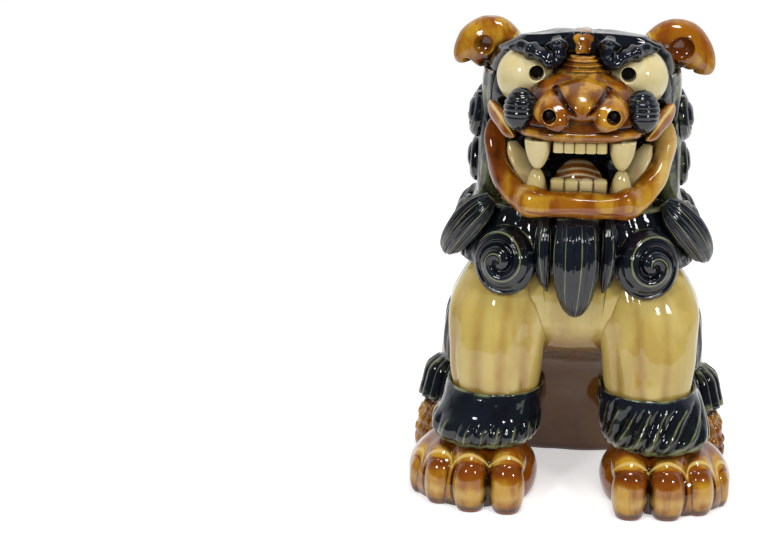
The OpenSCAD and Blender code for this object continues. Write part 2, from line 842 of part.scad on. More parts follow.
// Scroll that lies on the collar and hangs over the shoulder
chest = [2.9, [
  slab(neck_z - 60, trunk_w + 15, -64, rump_y - 13),
  slab(neck_z - 44, trunk_w + 13.5, -61.5, rump_y - 13),
  slab(neck_z - 34, trunk_w + 12.5, -60, rump_y - 13),
  slab(neck_z - 22, trunk_w + 11.5, -59, rump_y - 13),
  slab(neck_z - 11, trunk_w + 7.5, -54.5, rump_y - 13),
  slab(neck_z, trunk_w + 3, -49, rump_y - 13)
]];

module chest_scroll(side) {
  color("#1B2026")
    sided(side)
      curl(chest, 34, neck_z - 25, scroll_r, 9, scroll_turns, 20, 7, 120);
}

// Broad ribbed lock that sweeps from under the jaw out over the collar and curls at its tip
module side_lock(side) {
  color("#1B2026")
    sided(side)
      bar([
        [0, trunk_w - 7, -40, neck_z + 4, 3, 3],
        [1, trunk_w - 2, -40, neck_z - 1, 7.5, 5],
        [2, trunk_w + 4, -39, neck_z - 8, 9, 6],
        [3, trunk_w + 10, -35, neck_z - 17, 8.5, 6.5],
        [4, trunk_w + 14, -29, neck_z - 25, 6, 6],
        [5, trunk_w + 14.5, -25, neck_z - 30, 2, 3]
      ], [0.6, -1, 0], 10, 16, 6, 0.08,
      function(p) clear_of_skull(clear_of(mane, clear_of(collar, clear_of(foreleg, p)))));
}

// Curls that ring the mane, by their angles from straight ahead. One at the back has no twin.
module curl_row(mass, angles, z) {
  for (a = angles)
    for (side = a == 180 ? [1] : [-1, 1])
      sided(side)
        curl(mass, a, z, curl_r, curl_r * 0.5, 1.5, spin = 40);
}

module upper_curls() color("#1B2026") curl_row(mane, [81, 108, 135, 162], neck_z + 38.5);

module middle_curls() color("#1B2026") curl_row(mane, [94, 122, 150, 180], neck_z + curl_r + 0.5);

module lower_curls() color("#1B2026") curl_row(collar, [88, 112, 137, 162], neck_z - 17);

body();
foreleg_piece(-1);  // foreleg_left
foreleg_piece(1);  // foreleg_right
forecuff_piece(-1);  // forecuff_left
forecuff_piece(1);  // forecuff_right
forepaw_piece(-1);  // forepaw_left
forepaw_piece(1);  // forepaw_right
foreclaws(-1);  // foreclaws_left
foreclaws(1);  // foreclaws_right
haunch_piece(-1);  // haunch_left
haunch_piece(1);  // haunch_right
hindcuff(-1);  // hindcuff_left
hindcuff(1);  // hindcuff_right
hindpaw_piece(-1);  // hindpaw_left
hindpaw_piece(1);  // hindpaw_right
hindclaws(-1);  // hindclaws_left
hindclaws(1);  // hindclaws_right
elbow_tuft(-1);  // elbow_tuft_left
elbow_tuft(1);  // elbow_tuft_right
tail();
spine_curls();
head();
ear(-1);  // ear_left
ear(1);  // ear_right
eye(-1);  // eye_left
eye(1);  // eye_right
brow(-1);  // brow_left
brow(1);  // brow_right
forehead_stripe();
nose_bridge();
nose();
muzzle_piece();  // muzzle
whisker_pad(-1);  // whisker_pad_left
whisker_pad(1);  // whisker_pad_right
lip_corner(-1);  // lip_corner_left
lip_corner(1);  // lip_corner_right
upper_teeth();
upper_fang_piece(-1);  // upper_fang_left
upper_fang_piece(1);  // upper_fang_right
lower_jaw();
lower_teeth();
lower_fang_piece(-1);  // lower_fang_left
lower_fang_piece(1);  // lower_fang_right
tongue();
cheek(-1);  // cheek_left
cheek(1);  // cheek_right
beard();
beard_lock(-1);  // beard_lock_left
beard_lock(1);  // beard_lock_right
chest_scroll(-1);  // chest_scroll_left
chest_scroll(1);  // chest_scroll_right
collar_piece();  // collar
mane_piece();  // mane
side_lock(-1);  // side_lock_left
side_lock(1);  // side_lock_right
upper_curls();
middle_curls();
lower_curls();
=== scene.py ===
# %% [markdown]
# # A seated guardian lion in glazed stoneware
# The statue is built by hand from many pieces of clay, which are pressed onto each other, glazed
# in five colours and fired into one. The CAD model gives each piece its place and size, and this
# file gives each one the rounder surface, tool marks and glaze that the real piece has.

# %% The frame from CAD
import bpy
import math
import numpy as np
from mathutils import Matrix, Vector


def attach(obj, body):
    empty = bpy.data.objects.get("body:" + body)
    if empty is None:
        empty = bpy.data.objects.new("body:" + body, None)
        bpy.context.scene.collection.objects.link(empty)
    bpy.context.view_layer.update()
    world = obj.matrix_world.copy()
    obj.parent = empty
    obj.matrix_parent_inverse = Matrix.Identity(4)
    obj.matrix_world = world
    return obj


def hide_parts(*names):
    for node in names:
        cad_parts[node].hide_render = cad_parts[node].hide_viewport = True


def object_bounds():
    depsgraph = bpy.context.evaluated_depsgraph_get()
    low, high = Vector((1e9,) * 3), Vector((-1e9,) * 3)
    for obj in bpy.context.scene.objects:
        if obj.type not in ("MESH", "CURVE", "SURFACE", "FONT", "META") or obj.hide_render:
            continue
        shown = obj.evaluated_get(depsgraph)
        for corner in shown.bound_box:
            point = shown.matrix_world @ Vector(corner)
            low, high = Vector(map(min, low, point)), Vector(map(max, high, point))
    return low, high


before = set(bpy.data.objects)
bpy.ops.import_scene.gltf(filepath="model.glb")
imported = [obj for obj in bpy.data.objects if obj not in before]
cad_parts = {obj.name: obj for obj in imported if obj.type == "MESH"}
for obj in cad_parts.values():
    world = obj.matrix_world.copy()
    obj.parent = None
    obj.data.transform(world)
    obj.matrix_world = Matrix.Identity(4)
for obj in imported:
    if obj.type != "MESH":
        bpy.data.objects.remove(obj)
cad_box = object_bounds()
print("CAD nodes:", len(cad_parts), "box in metres:", [[round(v, 4) for v in c] for c in cad_box])

# %% [markdown]
# ## Sizes
# All shapes below are worked out in millimetres, with the same sizes as the CAD model, and they
# are turned into metres when a mesh is made. Left and right are those of somebody who looks the
# lion in the face, and the face looks along -Y.

# %% Named sizes in millimetres
MM = 0.001
BOX = np.array([list(c) for c in cad_box]) / MM
NECK = 150.0
TRUNK_W = 50.0
RUMP = 70.0
WALL = 7.0
LEG_X = 42.0
LEG_R = 27.0
PAW_Z = 32.0
CUFF_Z = 58.0
LEG_TOP = 134.0
SKULL_W = 49.0
HEAD_H = 84.0
EYE = np.array([27.5, -32.5, NECK + 65.5])
EYE_R = 15.0
PUPIL = (22.5, NECK + 69.0, 3.5)
NOSTRIL = (15.3, NECK + 53.3, 3.25)
LIP_Z = NECK + 40.0
FLOOR_Z = NECK + 6.0
GUM_Z = NECK + 12.0
MOUTH_W = 35.0
BEARD = 49.0
HAUNCH_Y = 14.0
HAUNCH_TOP = 87.0
HOCK_Z = 28.0
HOCK_TOP = 49.0
MOUTH_DEPTH = 26.0
UPPER_FANG, LOWER_FANG = 14.5, 11.5
CURL_R, CURL_HIGH, CURL_TURNS = 12.0, 6.0, 1.5
SCROLL_R, SCROLL_HIGH, SCROLL_TURNS = 17.5, 9.0, 1.75
SIDES = ((-1, "left"), (1, "right"))

# %% [markdown]
# ## Curves and masses
# A potter thinks in masses: trunk, thigh, skull. Each mass here is a stack of rings, and each ring
# is a rounded square. The table of a mass gives the ring's height, its middle and its half sizes,
# and a smooth curve joins the rows, so that a whole trunk can be described by ten rows.

# %% Curve through a table
def curve(table, t):
    """Cubic curve through the rows [t, v, v, ...]: at each row its slope is the mean slope between
    the rows on either side. Returns all columns for every t."""
    tab, t = np.asarray(table, float), np.asarray(t, float)
    i = np.clip(np.searchsorted(tab[:, 0], t, side="right") - 1, 0, len(tab) - 2)
    k = np.arange(len(tab))
    lo, hi = np.maximum(k - 1, 0), np.minimum(k + 1, len(tab) - 1)
    slope = (tab[hi] - tab[lo]) / (tab[hi, 0] - tab[lo, 0])[:, None]
    h = (tab[i + 1, 0] - tab[i, 0])[..., None]
    s = (t - tab[i, 0])[..., None] / h
    r = 1 - s
    return (tab[i] * (1 + 2 * s) * r * r + slope[i] * h * s * r * r
            + tab[i + 1] * s * s * (3 - 2 * s) + slope[i + 1] * h * s * s * (s - 1))


def rings(power, base, *rows):
    """Mass whose middle lies on the middle plane, from rows of height over a base, half width, front
    and back. A mass is the power of its rounded squares and the table of its rings."""
    return power, [[base + z, 0, (front + back) / 2, w, (back - front) / 2] for z, w, front, back in rows]


def path(base, *rows):
    """Table of a coil's path, from rows of x, y, height over a base, half width and half depth."""
    return [[i, x, y, base + z, w, d] for i, (x, y, z, w, d) in enumerate(rows)]


def unit(x):
    """Values held between 0 and 1."""
    return np.clip(x, 0, 1)


def bell(x, middle, width):
    """Bell curve: 1 at its middle and 0.37 at one width from it."""
    return np.exp(-((x - middle) / width) ** 2)

# %% Rings of a mass
def reach(q, m, a):
    """Distance from a ring's middle to its edge at angle a from straight ahead. The ring is the
    rounded square |x/w|^m + |y/d|^m = 1."""
    return (np.abs(np.sin(a) / q[..., 3]) ** m + np.abs(np.cos(a) / q[..., 4]) ** m) ** (-1 / m)


def edge(mass, a, z, out=0.0):
    """Point of a mass at angle a (radians from straight ahead towards +X) and height z, moved out
    by some millimetres."""
    a, z = np.broadcast_arrays(a, z)
    q = curve(mass[1], z)
    r = reach(q, mass[0], a) + out
    return np.stack([q[..., 1] + r * np.sin(a), q[..., 2] - r * np.cos(a), z], -1)


def clear_of(mass, p, gap=0.0):
    """Points moved out, level by level, to the surface of a mass where they lie inside it. This is
    how one piece of clay lies on another."""
    tab = np.asarray(mass[1], float)
    z = np.clip(p[..., 2], tab[0, 0], tab[-1, 0])
    q = curve(tab, z)
    v = p[..., :2] - q[..., 1:3]
    a = np.arctan2(v[..., 0], -v[..., 1])
    r = reach(q, mass[0], a) + gap
    inside = (np.hypot(v[..., 0], v[..., 1]) < r) & (p[..., 2] >= tab[0, 0]) & (p[..., 2] <= tab[-1, 0])
    moved = np.stack([q[..., 1] + r * np.sin(a), q[..., 2] - r * np.cos(a), p[..., 2]], -1)
    return np.where(inside[..., None], moved, p)


def clear_of_ball(centre, radius, p, gap=0.0):
    """Points moved straight out of a ball where they lie inside it."""
    v = p - centre
    d = np.linalg.norm(v, axis=-1, keepdims=True)
    return np.where(d < radius + gap, centre + v * (radius + gap) / np.maximum(d, 1e-9), p)


def mirrored(p, side):
    """Points on the side asked for: the formulas are written for +X."""
    return p * np.array([side, 1.0, 1.0])


def thin_line(wave, share=0.05):
    """Paint of -1 on the crests of a wave between 0 and 1, over the top share of its height."""
    return -unit((wave - 1 + share) / share)


def around(n):
    """Row of n angles round a full turn."""
    return (np.arange(n) * 2 * math.pi / n)[None, :]


def column(first, last, n):
    """Column of n evenly spaced values. With a row of angles it spreads out to a grid."""
    return np.linspace(first, last, n)[:, None]


def points(x, y, z):
    """Grid of points from three coordinates, each a number, a row, a column or a grid."""
    return np.stack(np.broadcast_arrays(x, y, z), -1)

# %% [markdown]
# ## From grid to mesh
# Every surface is a grid of points, rows by columns. The columns close into rings, and each end is
# closed by a fan, or the last row joins the first where the form is a loop. A second step measures
# how far each point stands out of its neighbourhood. Glaze runs off such edges and pools in the
# hollows, so the materials read that number.

# %% Mesh from a grid of points
def relief_of(verts, edges, rounds):
    """How far each point stands proud of its smoothed neighbourhood, in millimetres along the
    normal: the point minus the mean of its neighbours, taken over several rounds of smoothing."""
    n = len(verts)
    count = np.bincount(edges.ravel(), minlength=n).astype(float)[:, None]
    smooth = verts.copy()
    for _ in range(rounds):
        total = np.stack([np.bincount(edges[:, 0], smooth[edges[:, 1], c], n)
                          + np.bincount(edges[:, 1], smooth[edges[:, 0], c], n) for c in range(3)], -1)
        smooth = 0.5 * smooth + 0.5 * total / np.maximum(count, 1)
    return verts - smooth


def grid_faces(rows, n, loop):
    """Quads between neighbouring rows, each row closed round."""
    j = np.arange(rows if loop else rows - 1)[:, None]
    i = np.arange(n)[None, :]
    a, b = j * n + i, j * n + (i + 1) % n
    c, d = (j + 1) % rows * n + i, (j + 1) % rows * n + (i + 1) % n
    return np.stack([a, b, d, c], -1).reshape(-1, 4)


made = {}


def finger_marks(p):
    """Unevenness of a surface pressed by hand, from -1 to 1: the mean of three sines whose waves are
    20 to 35 mm long, run in different directions and bend each other."""
    x, y, z = p.T
    return (np.sin(x / 3.7 + 0.9 * np.sin(z / 5.3) + y / 9)
            + np.sin(z / 4.1 + 0.8 * np.sin(x / 6.1) + y / 5.7)
            + np.sin((x + y) / 5.3 - z / 7.9)) / 3


def paint_values(paint, verts, loop):
    """Paint for each point, from a function of the points, or from one array for each grid, with
    zeros for the middle points of the two caps."""
    if paint is None:
        return np.zeros(len(verts))
    if callable(paint):
        return paint(verts)
    caps = np.zeros(0 if loop else 2)
    return np.concatenate([np.concatenate([np.asarray(part, float).ravel(), caps]) for part in paint])


def piece(name, grids, material, nodes=(), loop=False, rounds=6, uneven=0.0, paint=None):
    """Mesh object from one grid or several, rows x columns x 3 in millimetres. The caps are fans
    to the mean point of the first and the last row. Finger marks of some depth in millimetres are
    pressed into it. Paint gives each point the thickness of its glaze, from -1 where it has run
    off to 1 where it is deepest."""
    if isinstance(grids, np.ndarray):
        grids = [grids]
    verts, quads, tris, base = [], [], [], 0
    for g in grids:
        rows, n = g.shape[:2]
        verts.append(g.reshape(-1, 3))
        quads.append(grid_faces(rows, n, loop) + base)
        if not loop:
            i = np.arange(n)
            j = (i + 1) % n
            first, last, top = base + rows * n, base + rows * n + 1, base + (rows - 1) * n
            verts.append(np.stack([g[0].mean(0), g[-1].mean(0)]))
            tris.append(np.stack([np.full(n, first), base + j, base + i], -1))
            tris.append(np.stack([np.full(n, last), top + i, top + j], -1))
            base += 2
        base += rows * n
    verts, quads = np.concatenate(verts), np.concatenate(quads)
    volume = signed_volume(verts, quads, tris)
    faces = quads[:, ::-1].tolist() if volume < 0 else quads.tolist()
    for t in tris:
        faces += t[:, ::-1].tolist() if volume < 0 else t.tolist()
    mesh = bpy.data.meshes.new(name)
    mesh.from_pydata((verts * MM).tolist(), [], faces)
    mesh.validate()
    mesh.polygons.foreach_set("use_smooth", np.ones(len(mesh.polygons), bool))
    edges = np.empty(len(mesh.edges) * 2, np.int64)
    mesh.edges.foreach_get("vertices", edges)
    normals = np.empty(len(mesh.vertices) * 3)
    mesh.vertices.foreach_get("normal", normals)
    normals = normals.reshape(-1, 3)
    away = relief_of(verts, edges.reshape(-1, 2), rounds)
    relief = mesh.attributes.new("relief", "FLOAT", "POINT")
    relief.data.foreach_set("value", (away * normals).sum(-1).astype(np.float32))
    thickness = mesh.attributes.new("paint", "FLOAT", "POINT")
    thickness.data.foreach_set("value", paint_values(paint, verts, loop).astype(np.float32))
    # Nothing may stand out of the box that the CAD model fills.
    verts = np.clip(verts + uneven * finger_marks(verts)[:, None] * normals, BOX[0], BOX[1])
    mesh.vertices.foreach_set("co", (verts * MM).ravel())
    obj = bpy.data.objects.new(name, mesh)
    bpy.context.scene.collection.objects.link(obj)
    obj.data.materials.append(material)
    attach(obj, "root")
    if nodes:
        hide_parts(*nodes)
    made[name] = len(faces)
    return obj


def signed_volume(verts, quads, tris):
    """Sum over the faces of the volume of the tetrahedron to the origin: positive when the faces
    look outward."""
    def part(a, b, c):
        """Sixth of the triple products of the corners of many triangles."""
        return np.einsum("ij,ij->", verts[a], np.cross(verts[b], verts[c])) / 6
    total = part(quads[:, 0], quads[:, 1], quads[:, 2]) + part(quads[:, 0], quads[:, 2], quads[:, 3])
    return total + sum(part(t[:, 0], t[:, 1], t[:, 2]) for t in tris)

# %% [markdown]
# ## Glazes
# The statue is taken for stoneware under a gloss glaze. Such a glaze is a thin coloured glass: its
# index of refraction is close to 1.5 and its surface is smooth, so it mirrors lamps as sharp small
# lights. Its colour is never even. Where it lies thin, on an edge, the pale clay shows through, and
# where it runs together, in a groove, it is deeper and darker. Each material mixes its colours by
# the relief of the mesh and by soft noise at the size of a brush mark, and it paints shade into its
# colour: the deep colour is also laid where other clay is near.

# %% Colour and node helpers
def linear(hexa):
    """sRGB hex colour as linear RGBA."""
    c = np.array([int(hexa[i:i + 2], 16) for i in (1, 3, 5)]) / 255
    c = np.where(c <= 0.04045, c / 12.92, ((c + 0.055) / 1.055) ** 2.4)
    return (*c.tolist(), 1.0)


def add(tree, kind, inputs=None, **settings):
    """Adds one node, sets its properties, and fills its inputs with values or links."""
    node = tree.nodes.new(kind)
    for key, value in settings.items():
        setattr(node, key, value)
    for key, value in (inputs or {}).items():
        if isinstance(value, bpy.types.NodeSocket):
            tree.links.new(value, node.inputs[key])
        else:
            node.inputs[key].default_value = value
    return node


def step(tree, value, low, high):
    """Value mapped smoothly from low..high to 0..1."""
    return add(tree, "ShaderNodeMapRange", {"Value": value, "From Min": low, "From Max": high},
               interpolation_type="SMOOTHSTEP").outputs["Result"]


def mix(tree, factor, a, b):
    """Two colours mixed by a factor."""
    node = add(tree, "ShaderNodeMix", data_type="RGBA")
    for i, value in ((0, factor), (6, a), (7, b)):
        if isinstance(value, bpy.types.NodeSocket):
            tree.links.new(value, node.inputs[i])
        else:
            node.inputs[i].default_value = value
    return node.outputs[2]


def noise(tree, size_mm, detail=3.0, stretch=(1, 1, 1), offset=0.0):
    """Soft noise whose blots are about size_mm across, stretched along an axis, on the object's own
    coordinates in metres."""
    where = add(tree, "ShaderNodeTexCoord").outputs["Object"]
    scaled = add(tree, "ShaderNodeMapping", {"Vector": where, "Location": (offset, offset, offset),
                                             "Scale": tuple(1 / s for s in stretch)}).outputs["Vector"]
    return add(tree, "ShaderNodeTexNoise", {"Vector": scaled, "Scale": 0.5 / (size_mm * MM),
                                            "Detail": detail, "Roughness": 0.55}).outputs["Fac"]


def maths(tree, operation, a, b=0.0):
    """Arithmetic on two values."""
    node = add(tree, "ShaderNodeMath", operation=operation)
    for i, value in ((0, a), (1, b)):
        if isinstance(value, bpy.types.NodeSocket):
            tree.links.new(value, node.inputs[i])
        else:
            node.inputs[i].default_value = value
    return node.outputs[0]


def times(tree, a, b):
    """Product of two values."""
    return maths(tree, "MULTIPLY", a, b)

# %% The glaze
GLASS_IOR = 1.5


def glaze(name, base, second, deep, thin, thin_from=0.05, thin_to=0.25, blot_mm=14, streak=None,
          streak_share=0.5, roughness=0.09, shade_mm=7.0, occlusion_shade=(0.90, 0.45), deep_share=0.85, wave=0.25,
          wave_mm=9, ragged_edge=0.5, runs_mm=7, runs_from=0.46, runs_to=0.66):
    """Gloss glaze over clay. Base and second colour are mixed by broad noise, streak colour runs down
    it in narrow bands, the deep colour lies in grooves, and the thin colour lies on edges. The deep
    colour is also laid as painted shade where other clay is near, as ambient occlusion finds it
    within shade_mm. Paint adds streak colour, then deep colour where it is above zero, and thin
    colour below zero, with a ragged edge."""
    material = bpy.data.materials.new(name)
    material.use_nodes = True
    tree = material.node_tree
    shader = tree.nodes["Principled BSDF"]
    blots = step(tree, noise(tree, blot_mm, 4), 0.38, 0.62)
    colour = mix(tree, blots, linear(base), linear(second))
    if streak:
        runs = step(tree, noise(tree, runs_mm, 3, (1, 1, 5), 0.3), runs_from, runs_to)
        colour = mix(tree, times(tree, runs, streak_share), colour, linear(streak))
    relief = add(tree, "ShaderNodeAttribute", attribute_name="relief").outputs["Fac"]
    groove = step(tree, relief, -0.03, -0.30)
    # Painted shade: ambient occlusion lays the deep colour where other clay lies within shade_mm.
    near = add(tree, "ShaderNodeAmbientOcclusion", {"Distance": shade_mm * MM}, samples=8).outputs["AO"]
    pooled_glaze_and_shade = maths(tree, "MAXIMUM", groove, step(tree, near, *occlusion_shade))
    ragged = times(tree, pooled_glaze_and_shade, step(tree, noise(tree, 5, 3, offset=1.7), 0.05, 0.45))
    colour = mix(tree, times(tree, ragged, deep_share), colour, linear(deep))
    crest = times(tree, step(tree, relief, thin_from, thin_to),
                  step(tree, noise(tree, 4, 3, offset=3.1), 0.40, 0.62))
    colour = mix(tree, crest, colour, linear(thin))
    paint = add(tree, "ShaderNodeAttribute", attribute_name="paint").outputs["Fac"]
    frayed = maths(tree, "SUBTRACT", noise(tree, 3, 3, offset=4.3), 0.5)
    worn = maths(tree, "ADD", paint, times(tree, frayed, ragged_edge))
    painted = maths(tree, "MINIMUM", maths(tree, "ABSOLUTE", times(tree, paint, 6)), 1)
    for low, high, over in ((0.0, 0.6, streak or second), (0.5, 1.0, deep), (-0.2, -0.8, thin)):
        colour = mix(tree, times(tree, step(tree, worn, low, high), painted), colour, linear(over))
    tree.links.new(colour, shader.inputs["Base Color"])
    # A glaze follows the finger marks of the clay and has a faint orange-peel skin of its own.
    marks = add(tree, "ShaderNodeBump", {"Height": noise(tree, wave_mm, 2, offset=5.0), "Strength": wave,
                                         "Distance": 1.2 * MM})
    skin = add(tree, "ShaderNodeBump", {"Height": noise(tree, 1.6, 2, offset=7.0), "Strength": 0.10,
                                        "Distance": 0.25 * MM, "Normal": marks.outputs["Normal"]})
    tree.links.new(skin.outputs["Normal"], shader.inputs["Normal"])
    shader.inputs["Roughness"].default_value = roughness
    shader.inputs["IOR"].default_value = GLASS_IOR
    shader.inputs["Coat Weight"].default_value = 0.2
    shader.inputs["Coat Roughness"].default_value = 0.03
    return material


# The buff's painted shade reaches 18 mm: a soft brown where the legs, thighs and trunk meet.
buff = glaze("olive_buff_gloss_glaze", "#C6AE5E", "#CEB86E", "#784410", "#DCCB8C", 0.10, 0.5, 22,
             streak="#A17A38", streak_share=0.35, wave=0.5, deep_share=0.65, shade_mm=18,
             occlusion_shade=(0.62, 0.20), ragged_edge=0.2)
amber = glaze("amber_gloss_glaze", "#9C5E0C", "#C29226", "#240D05", "#D9B866", 0.08, 0.45, 8,
              streak="#864208", streak_share=0.9, runs_mm=5, runs_from=0.46, runs_to=0.64, wave=0.5,
              occlusion_shade=(0.93, 0.55), deep_share=0.95)
brown = glaze("red_brown_gloss_glaze", "#8E500C", "#BE8824", "#200C05", "#CFA050", 0.08, 0.45, 8,
              streak="#602A06", streak_share=0.85, runs_mm=5, runs_from=0.44, runs_to=0.60, wave=0.6,
              occlusion_shade=(0.93, 0.5))
dark = glaze("blue_black_gloss_glaze", "#0B0E15", "#161B27", "#040507", "#767C54", 0.16, 0.55, 16,
             streak="#141C1E", streak_share=0.6, roughness=0.07, wave=0.9, wave_mm=6, ragged_edge=0.9)
cream = glaze("cream_gloss_glaze", "#D6C590", "#CBB878", "#6B4718", "#E2D6A4", 0.10, 0.5, 14,
              streak="#B08C48", streak_share=0.25, wave=0.3)
pale = glaze("pale_cream_gloss_glaze", "#E4D8A8", "#DCCC94", "#6B4718", "#EFE6C2", 0.10, 0.5, 12,
             streak="#C8A85C", streak_share=0.25, wave=0.3, occlusion_shade=(0.75, 0.3), deep_share=0.6)
blush = glaze("blush_gloss_glaze", "#E6D49C", "#DCC488", "#7A4A24", "#F0E4BC", 0.10, 0.5, 9,
              streak="#C49058", streak_share=0.4, wave=0.6, occlusion_shade=(0.30, 0.0), deep_share=0.4)
tongue_glaze = glaze("thin_amber_glaze_over_pink_clay", "#925416", "#AD7A38", "#200C05", "#DCC49C",
                     0.50, 1.2, 8, streak="#7C4016", streak_share=0.7, wave=0.5)
# Near-black material for the lumps in the pierced holes: painted shade.
hole_shade = glaze("painted_shade_in_hole", "#0B0706", "#140C08", "#050303", "#140C08", roughness=0.6)
print("glazes:", [m.name for m in bpy.data.materials])

# %% [markdown]
# ## Bars, buttons and lumps
# Three forms repeat all over the statue. A bar is a rolled coil of clay carried along a path, a
# button is a flat curl pressed on, and a lump is several balls pressed together. A lump is drawn as
# seen from a point inside it: in each direction the surface lies where the farthest ball ends.

# %% A coil of clay along a path
def bar(table, up, steps, n, lobes=0, lobe=0.0, shape=None, clear=None):
    """Ring of n points at each step along a smooth path. Row of the table: [t, x, y, z, half width,
    half depth], with the depth along "up". Lobes run along it as ribs."""
    t = np.linspace(table[0][0], table[-1][0], steps + 1)
    e = (table[-1][0] - table[0][0]) / 100
    q = curve(table, t)
    d = curve(table, np.minimum(t + e, t[-1]))[:, 1:4] - curve(table, np.maximum(t - e, t[0]))[:, 1:4]
    d /= np.linalg.norm(d, axis=1, keepdims=True)
    u = np.cross(np.array(up, float), d)
    u /= np.linalg.norm(u, axis=1, keepdims=True)
    v = np.cross(d, u)
    a = around(n)
    g = 1 + lobe * np.cos(lobes * a)
    if shape is not None:
        g = g * shape(column(0, 1, steps + 1), a)
    p = (q[:, None, 1:4] + (g * q[:, 4:5] * np.cos(a))[..., None] * u[:, None, :]
         + (g * q[:, 5:6] * np.sin(a))[..., None] * v[:, None, :])
    return clear(p) if clear else p

# %% A curl pressed on
def curl_polar(n, rows):
    """Angles and shares of the radius of a curl's points: its base, its rim, then in to its middle."""
    return around(n), np.concatenate([[0.3, 1.0], 1 - (np.arange(rows) / rows) ** 1.15])[:, None]


def curl(mass, angle, z, r, h, turns, n=72, rows=34, spin=0.0, deep=0.2):
    """Domed button on a mass with a spiral groove. At the share s of its radius and the angle a, the
    phase of the spiral is turns * s * 360 + a. The height is a dome, (1 - s^2)^0.4, times a level
    that swells a little with the cosine of the phase, falls by "deep" where that is least, and
    carries fine ribs between."""
    angle, nudge = math.radians(angle), 0.035

    def at(turn, climb):
        """Point of the mass a little to the side of the curl's middle or above it."""
        return edge(mass, np.array(angle + turn), np.array(float(z + climb)))
    along, up = at(nudge, 0) - at(-nudge, 0), at(0, 2.0) - at(0, -2.0)
    climb = up / np.linalg.norm(up)
    wide = np.linalg.norm(along) / (2 * nudge)
    face = np.cross(along / np.linalg.norm(along), climb)
    face /= np.linalg.norm(face)
    a, s = curl_polar(n, rows)
    top = np.concatenate([[0.0, 0.0], np.ones(rows)])[:, None]
    foot = edge(mass, angle + s * r * np.cos(a) / wide, z + s * r * np.sin(a) * climb[2])
    phase = 2 * math.pi * turns * s + a + math.radians(spin)
    wave = np.cos(phase)
    dome = np.sqrt(unit(1 - s ** 2)) ** 0.8
    groove = 1 - unit(-wave) ** 3
    fine = 0.035 * np.abs(np.sin(2.5 * phase)) ** 0.5 * unit(2 * s)
    rise = dome * (1 - deep - 0.10 + 0.08 * wave + deep * groove + fine)
    return foot + (top * h * np.maximum(rise, 0))[..., None] * face


def curl_paint(turns, n=72, rows=34, spin=0.0):
    """Olive line on the crest of the spiral, on the same grid as the curl."""
    a, s = curl_polar(n, rows)
    crest = 0.5 + 0.5 * np.cos(2 * math.pi * turns * s + a + math.radians(spin))
    return 0.9 * thin_line(crest, 0.03) * (s > 0.12) * (s < 0.9)

# %% A lump of pressed balls
SHARP = 26


def lump(origin, balls, rows=110, n=160, floor=None, ceiling=None):
    """Surface seen from an origin inside it: in each direction the distance to the far side of each
    ball (an ellipsoid [centre, half axes, turn about Z in degrees]), joined by a high power mean
    so that the balls meet in a soft crease. Floor and ceiling cut it flat."""
    th = column(0.012, math.pi - 0.012, rows)
    ph = around(n)
    d = points(np.sin(th) * np.cos(ph), np.sin(th) * np.sin(ph), np.cos(th))
    o = np.array(origin, float)
    total = np.zeros(d.shape[:2])
    for centre, half, turn in balls:
        c, s = math.cos(math.radians(turn)), math.sin(math.radians(turn))
        spin = np.array([[c, s, 0], [-s, c, 0], [0, 0, 1]])
        e = (d @ spin.T) / np.array(half)
        f = (spin @ (o - np.array(centre, float))) / np.array(half)
        aa, bb, cc = (e ** 2).sum(-1), 2 * (e * f).sum(-1), (f ** 2).sum() - 1
        disc = bb ** 2 - 4 * aa * cc
        far = np.where(disc > 0, (-bb + np.sqrt(np.maximum(disc, 0))) / (2 * aa), 0)
        total += np.maximum(far, 0.01) ** SHARP
    dist = total ** (1 / SHARP)
    for level, way in ((ceiling, 1), (floor, -1)):
        if level is not None:
            climb = way * d[..., 2]
            cut = way * (level - o[2]) / np.maximum(climb, 1e-6)
            dist = np.where(climb > 1e-6, np.minimum(dist, cut), dist)
    return o + d * dist[..., None]

# %% [markdown]
# ## Body and forelegs
# The trunk is a thick-walled hollow pot, open at the foot. The forelegs are thick columns that lean
# on it, with shallow upright grooves that the maker drew with a finger. In the photograph they show
# as soft brown shadows in the buff glaze.

# %% Trunk
trunk = rings(2.5, 0, (0, TRUNK_W, -1, RUMP - 4), (30, TRUNK_W + 2, -6, RUMP),
             (50, TRUNK_W + 2, -11, RUMP - 1), (63, TRUNK_W + 2, -22, RUMP - 3),
             (76, TRUNK_W + 1, -44, RUMP - 6), (90, TRUNK_W, -54, RUMP - 11),
             (106, TRUNK_W - 1, -56, RUMP - 18), (122, TRUNK_W - 3, -52, RUMP - 25),
             (136, TRUNK_W - 6, -46, RUMP - 30), (NECK, TRUNK_W - 10, -38, RUMP - 34))


def body_grid(n=128):
    """Outer wall from the foot to the neck, then the inner wall back down to the foot."""
    a = around(n)
    outer = edge(trunk, a, column(0, NECK, 70))
    inner = edge(trunk, a, column(NECK, 0, 24), -WALL)
    return np.concatenate([outer, inner])


def wall_shade_and_foot_paint(p):
    """Painted shade on the recessed wall between the legs: browner below 95 mm, most at its front, and
    browner in the last 4 mm at the foot.
    """
    return 0.84 * unit((95 - p[:, 2]) / 30) * unit((20 - p[:, 1]) / 20) + 0.5 * unit((4 - p[:, 2]) / 4)


piece("hollow_body", body_grid(), buff, ["body"], loop=True, uneven=0.3, paint=wall_shade_and_foot_paint)

# %% Forelegs
foreleg = (2.15, [[PAW_Z, LEG_X - 2, -45, LEG_R - 6, 21], [45, LEG_X - 2, -44, LEG_R - 5, 22.5],
                  [57, LEG_X - 3, -42, LEG_R - 4, 25], [70, LEG_X - 3, -40, LEG_R - 2.5, 26],
                  [85, LEG_X - 3.5, -38, LEG_R - 1, 26], [99, LEG_X - 4.5, -35.5, LEG_R, 24.5],
                  [110, LEG_X - 7, -32.5, LEG_R - 2.5, 22.5], [120, LEG_X - 10, -30, LEG_R - 6, 18],
                  [128, LEG_X - 12, -28, LEG_R - 10, 14], [LEG_TOP, LEG_X - 14, -27, 7, 7]])


